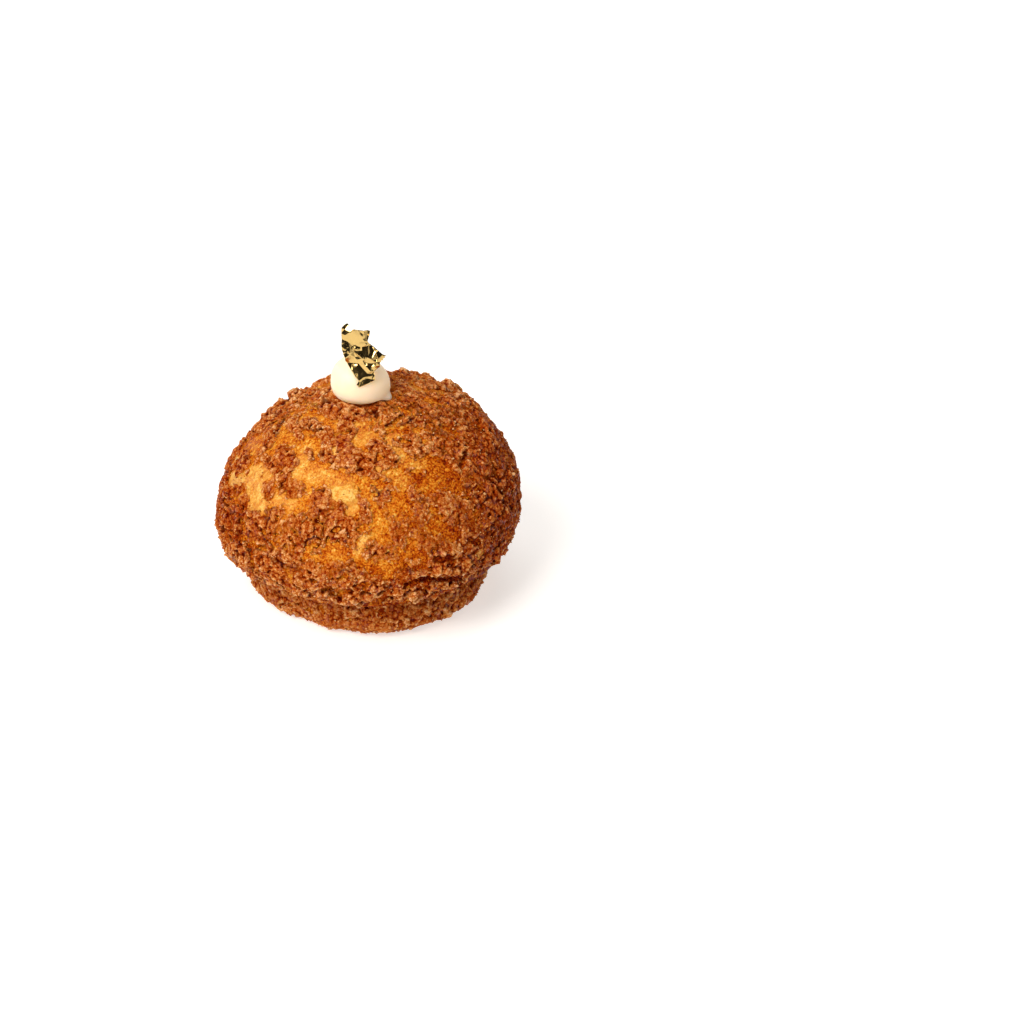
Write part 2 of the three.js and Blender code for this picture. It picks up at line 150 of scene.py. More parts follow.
area_light("key_light", (-0.42, -0.60, 0.82), 0.55, 13.3, "#fffaf4")
area_light("top_light", (-0.05, 0.35, 0.95), 0.80, 3.6, "#ffffff")
area_light("right_fill", (0.80, -0.75, 0.35), 0.60, 0.8, "#fffaf4")

world = bpy.data.worlds.new("white_studio")
world.use_nodes = True
tree = world.node_tree
tree.nodes.clear()
way = add_node(tree, "ShaderNodeSeparateXYZ", sockets={
    "Vector": add_node(tree, "ShaderNodeTexCoord").outputs["Generated"],
})
glow = range_node(tree, way.outputs["Z"], -0.2, 0.8, 0.20, 0.50)
behind_viewer = step_node(tree, way.outputs["Y"], -0.15, -0.55, 1.0, 0.06)
to_the_right = range_node(tree, way.outputs["X"], 0.1, 0.9, 1.0, 0.20)
to_the_left = range_node(tree, way.outputs["X"], -0.2, -0.9, 1.0, 0.55)
for dimmed in (behind_viewer, to_the_right, to_the_left):
    glow = math_node(tree, "MULTIPLY", glow, dimmed)
sky = add_node(tree, "ShaderNodeBackground", sockets={"Strength": glow})
add_node(tree, "ShaderNodeOutputWorld", sockets={"Surface": sky.outputs["Background"]})
bpy.context.scene.world = world

FLOOR_SIZE = 6.0

select_only(camera)
bpy.ops.mesh.primitive_plane_add(size=FLOOR_SIZE)
floor = bpy.context.object
floor.name = "floor"
floor_material, tree = new_material("white_table")
paint = add_node(tree, "ShaderNodeBsdfPrincipled", sockets={
    "Base Color": linear("#c4c4c4"), "Roughness": 0.9, "Specular IOR Level": 0.1,
    "Emission Color": linear("#fbf6f0"), "Emission Strength": 0.68,
})
add_node(tree, "ShaderNodeOutputMaterial", sockets={"Surface": paint.outputs["BSDF"]})
floor.data.materials.append(floor_material)


# ------------------------------------------------------------------------ choux skin
# The bun itself: choux paste that puffed up hollow, set and browned. Its skin is
# smooth, thin and glossy where it tore the crust open, and it folds in over a
# flat foot. It is one closed form, shaped from a ball by the bun's own profile.
BUN_HEIGHT = 53.9
BELLY_RADIUS = 37.9
BELLY_HEIGHT = 21.2
DOME_ROUNDNESS = 1.96
UNDERSIDE = (18.0, 16.0)
LEAN = 4.9
LEAN_BEND = 1.5
FOOT_FLAT_RADIUS = 21.0
FOOT_RADIUS = 28.0
FOOT_WIDEST_HEIGHT = 3.8
CREASE_RADIUS = 27.0
CREASE_HEIGHT = 8.6
LIP_HEIGHT = 9.6
FRONT_LIFT = 2.8
FRONT_LIFT_SIDES = (0.2, 0.5)
FRONT_LIFT_FULL = 9
FRONT_LIFT_FADES = (12, 14)
FOOT_SPREAD = [
    (-180, 1.0), (-110, 1.2), (-75, 1.6), (-60, 0.9), (-47, 0.0), (-37, -1.0), (-27, 0.2), (-18, 1.2),
    (-10, 0.3), (-3, 1.2), (4, 1.9), (15, 2.3), (34, 2.2), (50, 3.1), (60, 3.3), (75, 2.6),
    (110, 1.5), (180, 1.0),
]
FOOT_SPREAD_EDGE = 5
FOOT_SPREAD_FADES = (5, 8)
QUIET_IN_CREASE = 0.85
QUIET_HEIGHT = 0.6
QUIET_REACH = 2.0
QUIET_ON_FLAT = 3
SWELL_SIZE = 20.0
SWELL_HEIGHT = 0.55
CRUST_SEED = 11
BLISTER_AT = (-11.5, 70.2)
BLISTER_RADIUS = 3.0
BLISTER_RISE = 0.9
CREAM_CENTRE = (-0.2, -0.8)
CREAM_RADIUS = 7.4
CREAM_CLEARANCE = 2.5

# The crust ends in a thick rim on the belly's underside, and the choux is tucked in
# below it: azimuth, height of the rim and depth of the tuck, all the way round.
RIM = [
    (-180, 14.0, 1.2), (-140, 15.5, 1.2), (-105, 13.5, 0.8), (-80, 12.5, 0.6), (-60, 13.5, 0.8),
    (-45, 14.8, 1.0), (-34, 14.6, 1.0), (-28, 13.8, 1.0), (-14, 13.6, 1.0), (0, 14.4, 1.2),
    (8, 14.2, 1.6), (12, 13.4, 2.0), (34, 13.6, 2.2), (40, 15.5, 2.2), (52, 16.5, 2.0),
    (62, 14.5, 1.8), (75, 13.5, 1.4), (110, 13.5, 1.2), (150, 15.5, 1.2), (180, 14.0, 1.2),
]
TUCK_REACH = 3.4
TUCK_EDGE = 0.9
CREVICE_EDGE = 0.5
CREVICE_IN_SKIN = 0.6

# Where plates broke apart, with the crust painted dark in the gap as painted shade: azimuth in
# degrees and share of the profile in percent for both ends, half the width, and how deep it is.
CREVICES = [
    ((-50, 91.5), (-34, 92.5), 0.6, 1.2), ((-8, 92.0), (-2, 91.0), 0.5, 1.0),
    ((8, 88.0), (20, 88.8), 0.6, 1.2), ((20, 88.8), (32, 90.0), 0.6, 1.2),
    ((-55, 81.0), (-49, 82.8), 0.5, 1.0), ((50, 72.0), (58, 74.0), 0.6, 1.2),
    ((60, 83.0), (66, 79.0), 0.5, 1.0), ((-80, 84.0), (-70, 88.0), 0.5, 1.0),
    ((16, 47.6), (23, 49.0), 0.9, 1.8), ((23, 49.0), (38, 45.0), 0.7, 2.2),
    ((38, 45.0), (42, 39.0), 0.8, 2.4), ((23, 44.8), (25, 42.0), 0.4, 1.4),
    ((17, 40.5), (20, 38.5), 0.6, 1.6), ((11, 43.0), (12, 41.5), 0.5, 1.4),
    ((7, 40.5), (9, 37.5), 0.6, 1.6), ((0, 45.0), (8, 46.0), 0.5, 1.0),
    ((-1, 41.5), (6, 39.5), 0.4, 1.2), ((-15, 45.2), (-12, 46.2), 0.6, 1.4),
    ((-11, 43.6), (-8, 44.6), 0.7, 1.6), ((42, 56.0), (47, 53.5), 0.4, 1.0),
    ((62, 66.0), (66, 61.0), 0.5, 1.2), ((-9.5, 50.6), (-8, 50.8), 0.5, 1.0),
    ((-52, 53.5), (-45, 49.3), 0.7, 1.8), ((-45, 49.3), (-48, 42.5), 0.7, 1.8),
    ((-45, 53.5), (-40, 54.1), 0.5, 1.2), ((-43, 43.9), (-40, 40.0), 0.8, 1.8),
    ((-34.5, 44.8), (-32.8, 41.0), 0.8, 2.0), ((-26.5, 46.0), (-24.5, 45.3), 0.7, 1.6),
    ((-30.5, 40.5), (-28.5, 39.0), 0.7, 1.4), ((-20, 38.5), (-15, 37.5), 0.6, 1.4),
    ((-19, 49.0), (-17.5, 48.9), 0.6, 1.3), ((-64, 50.4), (-61, 49.6), 0.6, 1.5),
    ((-78, 55.4), (-68.5, 56.6), 0.5, 1.2), ((-68, 59.0), (-63, 58.8), 0.5, 1.1),
    ((-75, 51.0), (-68.5, 50.5), 0.5, 1.2), ((-59, 56.1), (-55, 56.4), 0.5, 1.1),
    ((-45, 57.4), (-43, 57.0), 0.5, 1.1), ((-32, 56.4), (-30, 55.9), 0.5, 1.0),
    ((-25, 54.0), (-23, 53.5), 0.4, 1.0), ((-48, 26.5), (-44.5, 27.1), 0.4, 1.0),
    ((-41.5, 27.3), (-37, 27.9), 0.4, 1.0), ((-30, 27.9), (-26, 28.0), 0.4, 1.0),
    ((-21.5, 29.3), (-19.5, 28.5), 0.4, 1.0), ((-9, 27.4), (-1, 28.4), 0.4, 1.0),
]


def chance(cells, seed):
    """A repeatable number from 0 to 1 for each whole-number place."""
    x, y, z = np.moveaxis(np.asarray(cells).astype(np.int64).astype(np.uint32), -1, 0)
    s = np.uint32(seed * 1274126177 % 2**32)
    with np.errstate(over="ignore"):
        h = x * np.uint32(374761393) ^ y * np.uint32(668265263)
        h = h ^ z * np.uint32(1440662683) ^ s
        h = (h ^ h >> np.uint32(13)) * np.uint32(1103515245)
        h = (h ^ h >> np.uint32(15)) * np.uint32(668265263)
    return (h ^ h >> np.uint32(16)) / 4294967296.0


def smooth(t):
    """An even step from 0 to 1."""
    c = np.clip(t, 0, 1)
    return c * c * (3 - 2 * c)


def ripple(points, size, seed):
    """A soft bumpy field from -1 to 1, with bumps of the given size."""
    place = points / size
    cell = np.floor(place)
    t = smooth(place - cell)
    total = np.zeros(len(points))
    for corner in range(8):
        step = np.array([corner & 1, corner >> 1 & 1, corner >> 2])
        weight = np.prod(np.where(step, t, 1 - t), axis=1)
        total += weight * chance(cell + step, seed)
    return total * 2 - 1


def ripples(points, seed, *bumps):
    """Several ripples in one, each given by its height and the size of its bumps."""
    return sum(height * ripple(points, size, seed + i) for i, (height, size) in enumerate(bumps))


def profile_points():
    """Radius and height from the middle of the foot, out and up to the crown."""
    def quarter(steps):
        t = np.arange(1, steps + 1) / steps
        return np.sin(t * np.pi / 2), 1 - np.cos(t * np.pi / 2), t

    def mix(a, b, t):
        return a + (b - a) * t

    out, up, t = quarter(24)
    parts = [
        (np.zeros(1), np.zeros(1)),
        (FOOT_FLAT_RADIUS * t, 0 * t),
        (mix(FOOT_FLAT_RADIUS, FOOT_RADIUS, out), FOOT_WIDEST_HEIGHT * up),
        (mix(FOOT_RADIUS, CREASE_RADIUS, smooth(t)), mix(FOOT_WIDEST_HEIGHT, CREASE_HEIGHT, t)),
    ]
    lip_turn = math.asin((BELLY_HEIGHT - LIP_HEIGHT) / UNDERSIDE[1])
    lip_radius = BELLY_RADIUS - UNDERSIDE[0] * (1 - math.cos(lip_turn))
    out, up, t = quarter(12)
    parts.append((mix(CREASE_RADIUS, lip_radius, out), mix(CREASE_HEIGHT, LIP_HEIGHT, up)))
    turn = lip_turn * (1 - quarter(36)[2])
    parts.append((
        BELLY_RADIUS - UNDERSIDE[0] * (1 - np.cos(turn)),
        BELLY_HEIGHT - UNDERSIDE[1] * np.sin(turn),
    ))
    out, up, t = quarter(120)
    power = 2 / DOME_ROUNDNESS
    parts.append((
        BELLY_RADIUS * np.maximum(1 - up, 0) ** power,
        mix(BELLY_HEIGHT, BUN_HEIGHT, out ** power),
    ))
    return np.concatenate([p[0] for p in parts]), np.concatenate([p[1] for p in parts])


profile_radius, profile_height = profile_points()
steps = np.hypot(np.diff(profile_radius), np.diff(profile_height))
profile_share = np.concatenate([[0], np.cumsum(steps)]) / steps.sum()


def profile_at(share):
    """The profile's radius and height at a share of its length."""
    share = np.clip(share, 0, 1)
    radius = np.interp(share, profile_share, profile_radius)
    return radius, np.interp(share, profile_share, profile_height)


def round_the_bun(table, azimuth):
    """The other columns of a table at an azimuth, between the entries on both sides."""
    degrees = (np.degrees(azimuth) + 180) % 360 - 180
    columns = np.array(table).T
    return [np.interp(degrees, columns[0], column) for column in columns[1:]]


def front_lift(azimuth, level):
    """How much the sagging front raised the crease and the belly's lip there."""
    side, width = FRONT_LIFT_SIDES
    front = smooth((np.cos(azimuth) - side) / width)
    start, length = FRONT_LIFT_FADES
    return FRONT_LIFT * front * smooth(level / FRONT_LIFT_FULL) * (1 - smooth((level - start) / length))


def foot_spread(azimuth, radius, level):
    """How far the foot spread past its own radius."""
    spread, = round_the_bun(FOOT_SPREAD, azimuth)
    start, length = FOOT_SPREAD_FADES
    outward = smooth((radius - FOOT_FLAT_RADIUS) / FOOT_SPREAD_EDGE)
    return spread * outward * (1 - smooth((level - start) / length))


def lean_at(height):
    """How far the bun leans over to +X at a height."""
    return LEAN * np.maximum(height / BUN_HEIGHT, 0) ** LEAN_BEND


def bun_point(azimuth, share):
    """Points of the smooth bun, in millimetres, before any relief."""
    radius, level = profile_at(share)
    height = level + front_lift(azimuth, level)
    radius = radius + foot_spread(azimuth, radius, level)
    return np.stack([radius * np.sin(azimuth) + lean_at(height), -radius * np.cos(azimuth), height], axis=-1)


def bun_normal(azimuth, share):
    """The smooth bun's outward directions."""
    reach = 0.006
    before = profile_at(share - reach)
    after = profile_at(share + reach)
    along = np.stack([after[0] - before[0], after[1] - before[1]])
    along /= np.linalg.norm(along, axis=0)
    return np.stack([along[1] * np.sin(azimuth), -along[1] * np.cos(azimuth), -along[0]], axis=-1)


def on_bun(place):
    """The point of the smooth bun with this azimuth, in degrees, and share in percent."""
    return bun_point(np.radians(place[0]), np.float64(place[1] / 100))


def crease_height(azimuth):
    """How high the crease runs."""
    return CREASE_HEIGHT + front_lift(azimuth, CREASE_HEIGHT)


def above_rim(azimuth, height):
    """How far above the crust's rim a place is, in millimetres."""
    return height - round_the_bun(RIM, azimuth)[0]


def inside_line(points, start, end, half):
    """How far inside a stroke from start to end each point lies, less than 0 outside."""
    way = end - start
    t = np.clip((points - start) @ way / (way @ way), 0, 1)
    return half - np.linalg.norm(points - start - t[:, None] * way, axis=1)


def crevice_depth(points):
    """How deep the gaps between broken plates go."""
    depth = np.zeros(len(points))
    frayed = ripples(points, 27, (0.35, 1.4), (0.25, 0.7))
    for start, end, half, deep in CREVICES:
        inside = inside_line(points, on_bun(start), on_bun(end), half)
        depth = np.maximum(depth, deep * smooth((inside + frayed) / CREVICE_EDGE + 0.5))
    return depth


def from_cream(points):
    """How far each point of the dome is from the cream's middle line."""
    off = np.hypot(points[:, 0] - CREAM_CENTRE[0], points[:, 1] - CREAM_CENTRE[1])
    return np.where(points[:, 2] > BELLY_HEIGHT, off, BELLY_RADIUS)


def under_cream(points):
    """1 where the cream sits, 0 away from it."""
    return 1 - smooth((from_cream(points) - CREAM_RADIUS) / CREAM_CLEARANCE)


def quiet(azimuth, points):
    """How much relief there is room for: little in the crease, none on the flat."""
    up = points[:, 2] - crease_height(azimuth)
    in_crease = 1 - smooth(np.abs(up - QUIET_HEIGHT) / QUIET_REACH)
    return (1 - QUIET_IN_CREASE * in_crease) * smooth(points[:, 2] / QUIET_ON_FLAT)


def skin_relief(azimuth, points):
    """How far the choux skin itself stands off the smooth bun."""
    swell = SWELL_HEIGHT * ripple(points, SWELL_SIZE, CRUST_SEED)
    off_blister = np.linalg.norm(points - on_bun(BLISTER_AT), axis=1) / BLISTER_RADIUS
    blister = BLISTER_RISE * smooth(1 - off_blister ** 2)
    below = -above_rim(azimuth, points[:, 2])
    tuck = smooth(below / TUCK_EDGE + 0.5) * smooth(1 - below / TUCK_REACH)
    form = swell + blister - round_the_bun(RIM, azimuth)[1] * tuck
    form -= CREVICE_IN_SKIN * crevice_depth(points)
    return form * (1 - under_cream(points)) * quiet(azimuth, points)


def from_directions(directions):
    """Azimuth and profile share for directions from the middle of a ball."""
    share = np.arccos(np.clip(-directions[:, 2], -1, 1)) / np.pi
    return np.arctan2(directions[:, 0], -directions[:, 1]), share


def vertices_of(piece):
    """A mesh's points as an array."""
    flat = np.empty(len(piece.data.vertices) * 3)
    piece.data.vertices.foreach_get("co", flat)
    return flat.reshape(-1, 3)


def move_vertices(piece, points):
    """Puts a mesh's points where the array says."""
    piece.data.vertices.foreach_set("co", np.asarray(points, dtype=np.float32).ravel())
    piece.data.update()


def keep_values(piece, name, values):
    """Stores one number for each vertex, which a material can read."""
    layer = piece.data.attributes.new(name, "FLOAT", "POINT")
    layer.data.foreach_set("value", np.asarray(values, dtype=np.float32))


def ball(name, subdivisions):
    """A ball of even triangles with a radius of one, and its directions."""
    bpy.ops.object.select_all(action="DESELECT")
    bpy.ops.mesh.primitive_ico_sphere_add(subdivisions=subdivisions, radius=1)
    piece = bpy.context.object
    piece.name = name
    piece.data.name = name
    points = vertices_of(piece)
    return piece, points / np.linalg.norm(points, axis=1, keepdims=True)


# Where the rising bun tore its crust and the skin shows: azimuth in degrees and
# share of the profile in percent for both ends, half the width, and how pale it is.
SKIN_STREAKS = [
    ((-79, 77.3), (-61, 76.8), 1.3, 0.38),
    ((-67, 76.0), (-69, 69.0), 1.7, 0.45),
    ((-68, 68.0), (-56, 68.2), 1.4, 0.65),
    ((-66.5, 65.8), (-53, 61.6), 3.1, 0.80),
    ((-72, 69.3), (-64, 68.5), 0.9, 0.50),
    ((-49, 64.5), (-37, 65.6), 1.6, 0.70),
    ((-77, 83.0), (-67, 84.5), 1.2, 0.40),
    ((-64, 86.6), (-40, 87.0), 1.8, 0.52),
    ((-26, 87.6), (-7, 84.0), 2.7, 0.62),
    ((-30, 80.0), (-22, 78.6), 0.8, 0.95),
    ((-47, 79.0), (-38, 78.0), 1.0, 0.45),
    ((-46, 77.0), (-42, 71.5), 1.5, 0.80),
    ((-39, 73.4), (-14, 72.6), 2.4, 0.62),
    ((-16.5, 70.4), (-9.5, 68.0), 2.5, 0.90),
    ((1, 61.4), (-4, 57.8), 0.7, 0.80),
    ((-5, 57.0), (-19, 55.2), 1.5, 0.50),
    ((-3, 79.0), (4, 76.0), 0.7, 0.85),
    ((12, 84.5), (14, 79.0), 2.0, 0.70),
    ((14, 78.5), (29, 76.3), 1.8, 0.55),
    ((9, 75.0), (17, 72.5), 1.7, 0.55),
    ((10, 86.6), (24, 86.0), 1.2, 0.40),
    ((35, 84.3), (50, 84.0), 0.9, 0.38),
    ((1, 68.0), (4, 61.0), 2.0, 0.45),
    ((34, 75.0), (42, 69.0), 2.6, 0.25),
    ((28, 62.0), (36, 58.0), 2.2, 0.20),
    ((-2, 55.0), (8, 52.5), 2.2, 0.35),
    ((40, 50.8), (50, 50.2), 1.1, 0.60),
]

# Plates that stayed whole and thick: both ends, half the width and the thickness.
PLATES = [
    ((-62, 94.0), (-38, 94.3), 1.7, 1.3),
    ((-54, 90.3), (-35, 88.6), 1.4, 1.2),
    ((-34, 87.3), (-27, 84.2), 2.1, 1.0),
    ((-67, 82.2), (-48, 82.0), 1.8, 1.4),
    ((-46, 84.0), (-38, 83.0), 1.0, 1.0),
    ((-77, 78.8), (-58, 79.0), 1.2, 1.2),
    ((-38, 81.5), (-34, 78.0), 1.7, 1.0),
    ((-34, 78.0), (-23, 76.5), 1.8, 1.1),
    ((-45, 77.4), (-38, 76.2), 1.0, 1.1),
    ((-59, 74.0), (-49, 72.5), 2.6, 1.3),
    ((-65, 70.4), (-52, 70.0), 1.7, 1.3),
    ((-54, 66.2), (-50, 64.5), 1.1, 1.1),
    ((-25, 82.0), (-19, 81.6), 1.1, 0.8),
    ((-18, 79.0), (-5, 77.5), 3.3, 1.4),
    ((-46, 62.3), (-42, 61.5), 1.1, 1.1),
    ((-64, 57.5), (-56, 57.2), 2.4, 1.4),
    ((-50, 58.5), (-43, 57.0), 2.4, 1.3),
    ((2, 82.0), (8, 78.0), 2.6, 1.3),
    ((17, 83.0), (29, 82.8), 1.9, 1.1),
    ((31, 79.2), (45, 78.6), 1.8, 1.1),
    ((45, 77.0), (56, 76.5), 1.7, 1.2),
    ((49, 73.0), (60, 73.5), 1.9, 1.2),
    ((-80, 74.0), (-74, 72.0), 1.8, 1.1),
    ((29, 50.4), (44, 49.6), 1.8, 1.9),
    ((13, 44.2), (20, 43.0), 2.0, 1.7),
    ((27, 45.5), (36, 43.0), 2.4, 1.8),
    ((-8, 43.0), (6, 42.0), 2.4, 1.8),
    ((-26, 45.5), (-16, 44.5), 2.4, 1.6),
    ((-42, 49.5), (-32, 47.5), 2.6, 1.5),
    ((-58, 50.0), (-50, 48.0), 2.5, 1.5),
    ((-21, 66.0), (-15, 65.1), 3.2, 0.9),
    ((-24, 58.9), (-9, 62.4), 3.7, 1.0),
    ((-26, 69.3), (-22, 69.0), 1.8, 0.8),
    ((-43, 68.4), (-38, 67.3), 1.9, 0.8),
    ((0, 57.5), (4, 57.8), 1.8, 0.8),
    ((2, 71.5), (5, 70.0), 1.7, 0.8),
    ((-4, 68.6), (-2, 65.9), 1.6, 0.8),
    ((-19, 50.8), (-14, 49.9), 1.9, 0.8),
    ((22, 58.3), (26, 56.3), 1.3, 0.7),
    ((33, 66.3), (38, 62.5), 1.7, 0.8),
    ((11, 62.8), (13, 59.9), 1.4, 0.7),
    ((62, 70.5), (69, 64.3), 3.0, 1.2),
    ((58, 62.9), (68, 55.3), 2.8, 1.2),
    ((4, 75.6), (7, 73.8), 1.2, 0.7),
    ((19, 70.3), (22, 68.8), 1.0, 0.7),
    ((-35, 56.5), (-31, 54.3), 1.8, 1.0),
    ((40, 58.5), (45, 56.3), 1.2, 0.7),
    ((-128, 73.5), (-114, 70.0), 3.0, 2.0),
    ((-158, 81.0), (-140, 78.5), 2.6, 1.8),
    ((148, 80.0), (158, 81.5), 2.6, 1.9),
    ((128, 73.0), (135, 75.5), 2.4, 1.8),
]

# How the crust lies in between: place, mean thickness and how coarse its crumb is.
CRUST_AREAS = [
    ((-75, 92), 0.95, 0.9), ((-40, 94), 1.05, 1.0), ((0, 92), 0.95, 0.9), ((40, 92), 1.05, 1.0),
    ((75, 91), 1.10, 1.0), ((-90, 74), 1.20, 1.0), ((-84, 60), 1.40, 1.0), ((-66, 53), 1.40, 1.0),
    ((-35, 50), 1.35, 0.9), ((0, 48), 1.20, 0.8), ((30, 46), 1.20, 0.8), ((62, 50), 1.00, 0.7),
    ((-68, 72), 0.25, 0.5), ((-55, 80), 0.25, 0.5), ((-50, 88), 0.25, 0.5), ((-32, 70), 0.25, 0.3),
    ((-25, 80), 0.20, 0.3), ((-15, 88), 0.25, 0.4), ((-12, 63), 0.75, 0.6), ((-34, 62), 0.65, 0.5),
    ((-36, 56), 1.00, 0.8), ((5, 72), 0.42, 0.4), ((20, 65), 0.50, 0.4), ((36, 70), 0.42, 0.3),
    ((20, 57), 0.48, 0.4), ((-8, 54), 0.50, 0.4), ((5, 80), 0.30, 0.3), ((20, 80), 0.45, 0.4),
    ((50, 65), 0.60, 0.5), ((64, 75), 0.90, 0.6), ((45, 85), 0.75, 0.6), ((20, 90), 1.15, 1.0),
    ((70, 62), 0.75, 0.5), ((0, 99), 1.05, 1.0), ((0, 30), 0.80, 0.4), ((120, 30), 0.80, 0.4),
    ((-120, 30), 0.80, 0.4),
]
BACK_SEED = 5
BACK_STREAKS = 16
BACK_STREAKS_FROM, BACK_STREAKS_ROUND = 104, 178
BACK_PLATES = 22
BACK_PLATES_FROM, BACK_PLATES_ROUND = 66, 215
BACK_AREAS = 26
BACK_AREAS_FROM, BACK_AREAS_ROUND = 85, 190
BACK_HIGHEST = 93


def back_of_the_crust():
    """The chance streaks, plates and areas on the sides and the back."""
    def draw(i, n):
        return float(chance(np.array([i, n, 0]), BACK_SEED))

    def azimuth(i, n, count, start, way_round):
        return start + way_round * (n + 0.8 * draw(i, 1)) / count

    def line(i, azimuth, share, length):
        turn = draw(i, 4) * math.pi
        across = math.degrees(length * math.cos(turn) / BELLY_RADIUS)
        up = min(share + length * math.sin(turn) * 0.5, BACK_HIGHEST)
        return (azimuth, share), (azimuth + across, up)

    streaks, plates, areas = [], [], []
    for n in range(BACK_STREAKS):
        at = azimuth(n, n, BACK_STREAKS, BACK_STREAKS_FROM, BACK_STREAKS_ROUND)
        ends = line(n, at, 55 + 31 * draw(n, 2), 7 + 10 * draw(n, 3))
        streaks.append((*ends, 1.2 + 1.6 * draw(n, 5), 0.2 + 0.6 * draw(n, 6)))
    for n in range(BACK_PLATES):
        i = 100 + n
        at = azimuth(i, n, BACK_PLATES, BACK_PLATES_FROM, BACK_PLATES_ROUND)
        ends = line(i, at, 46 + 42 * draw(i, 2), 3 + 5 * draw(i, 3))
        plates.append((*ends, 1.3 + 1.3 * draw(i, 5), 1.0 + 0.5 * draw(i, 6)))
    for n in range(BACK_AREAS):
        i = 200 + n
        at = azimuth(i, n, BACK_AREAS, BACK_AREAS_FROM, BACK_AREAS_ROUND)
        share = 50 + 46 * draw(i, 2)
        thick = 1.0 if share < 55 or share > 90 else 0.35 + 0.65 * draw(i, 3)
        areas.append(((at, share), thick, min(1, 0.25 + 0.8 * thick * draw(i, 4))))
    return streaks, plates, areas


back_streaks, back_plates, back_areas = back_of_the_crust()
streak_lines = [(on_bun(a), on_bun(b), half, pale) for a, b, half, pale in SKIN_STREAKS + back_streaks]
plate_lines = [(on_bun(a), on_bun(b), half, thick) for a, b, half, thick in PLATES + back_plates]
area_points = [(on_bun(place), thick, coarse) for place, thick, coarse in CRUST_AREAS + back_areas]


RAGGED_BUMPS = ((1.2, 3.4), (0.9, 1.7), (0.5, 0.9))
BARE_EDGE = 1.2
PALE_FRAY = 0.6
PALE_WIDTH = 1.3
PALE_LEVEL = 0.72
AREA_BLEND = 300


def raggedness(points):
    """What frays the edges of plates and streaks, in millimetres."""
    return ripples(points, 21, *RAGGED_BUMPS)


def bareness(points):
    """1 where the skin is bare, 0 where crust lies, and how pale the bare skin is."""
    frayed = raggedness(points)
    most = np.zeros(len(points))
    pale = np.zeros(len(points))
    for start, end, half, paleness in streak_lines:
        inside = inside_line(points, start, end, half)
        most = np.maximum(most, smooth((inside + frayed) / BARE_EDGE + 0.5))
        lit = smooth((inside + PALE_FRAY * frayed) / (PALE_WIDTH * half) + PALE_LEVEL)
        pale = np.maximum(pale, paleness * lit)
    return most, pale


def crust_map(points):
    """The crust's thickness and coarseness where plates and streaks are left out of it."""
    weight = np.zeros(len(points))
    thick = np.zeros(len(points))
    coarse = np.zeros(len(points))
    for place, thickness, coarseness in area_points:
        near = 1 / (np.linalg.norm(points - place, axis=1) ** 4 + AREA_BLEND)
        weight += near
        thick += near * thickness
        coarse += near * coarseness
    return thick / weight, coarse / weight


WRINKLE_HEIGHT = 0.10
WRINKLE_SIZE = 1.6
WRINKLE_UPRIGHT = 0.45
SKIN_SUBDIVISIONS = 7

skin, directions = ball("choux_skin", SKIN_SUBDIVISIONS)
azimuth, share = from_directions(directions)
points = bun_point(azimuth, share)
wrinkles = ripple(points * [1, 1, WRINKLE_UPRIGHT], WRINKLE_SIZE, 41)
wrinkles = WRINKLE_HEIGHT * (wrinkles + 0.5 * ripple(points, WRINKLE_SIZE / 2, 42))
off = skin_relief(azimuth, points) + wrinkles * quiet(azimuth, points)
skin_points = points + bun_normal(azimuth, share) * off[:, None]
skin_points[:, 2] = np.maximum(skin_points[:, 2], 0)
move_vertices(skin, skin_points * MM)
select_only(skin)
bpy.ops.object.shade_smooth()

# Where the crust is thin the skin shows through it in amber. At the far left it is painted
# darker as painted shade. To the right and low down it is darker partly from deeper browning and partly as
# painted shade.
AMBER = 0.49
DEEPER_AND_SHADED_RIGHT = 0.22
DEEPER_AND_SHADED_FAR_RIGHT = 0.08
PAINTED_SHADE_LEFT = 0.14
DEEPER_AND_SHADED_LOW = 0.25
LOW_HEIGHT = 31


def amber(points):
    """How light the amber film is on the skin, with painted shade at the sides and low down."""
    x, z = points[:, 0], points[:, 2]
    right = DEEPER_AND_SHADED_RIGHT * smooth(x / 30) + DEEPER_AND_SHADED_FAR_RIGHT * smooth((x - 20) / 12)
    low = DEEPER_AND_SHADED_LOW * smooth((LOW_HEIGHT - z) / 9) * (0.4 + 0.6 * smooth((x + 10) / 14))
    return AMBER - right - low - PAINTED_SHADE_LEFT * smooth((-18 - x) / 12)


skin_pale = bareness(points)[1]
keep_values(skin, "pale", np.clip(np.maximum(skin_pale, amber(points)), 0, 1))

choux_material, tree = new_material("baked_choux_skin")
place = add_node(tree, "ShaderNodeTexCoord").outputs["Object"]


def per_mm(size):
    """The scale that gives a texture features of this size in millimetres."""
    return 1000 / size


def value_of(tree, name):
    """A vertex value as a socket."""
    return add_node(tree, "ShaderNodeAttribute", {"attribute_name": name}).outputs["Fac"]


def add_up(tree, total, *terms):
    """A value with others added to it, each times its own weight, as a socket."""
    for value, weight in terms:
        total = math_node(tree, "MULTIPLY_ADD", value, weight, total)
    return total


def noise(tree, vector, size, detail=2.0, roughness=0.5):
    """Soft noise with features of this size in millimetres, as a socket."""
    made = add_node(tree, "ShaderNodeTexNoise", None, {
        "Vector": vector, "Scale": per_mm(size), "Detail": detail, "Roughness": roughness,
    })
    return made.outputs["Fac"]


def sugar_grains(tree, place, size):
    """Fused grains of this size in millimetres: their random numbers, and how far off their middles."""
    cells = add_node(tree, "ShaderNodeTexVoronoi", None, {
        "Vector": place, "Scale": per_mm(size), "Randomness": 1.0,
    })
    own = add_node(tree, "ShaderNodeSeparateColor", sockets={"Color": cells.outputs["Color"]})
    return own, cells.outputs["Distance"]


def around_zero(tree, value):
    """Noise that swings round zero in place of a half, as a socket."""
    return math_node(tree, "SUBTRACT", value, 0.5)


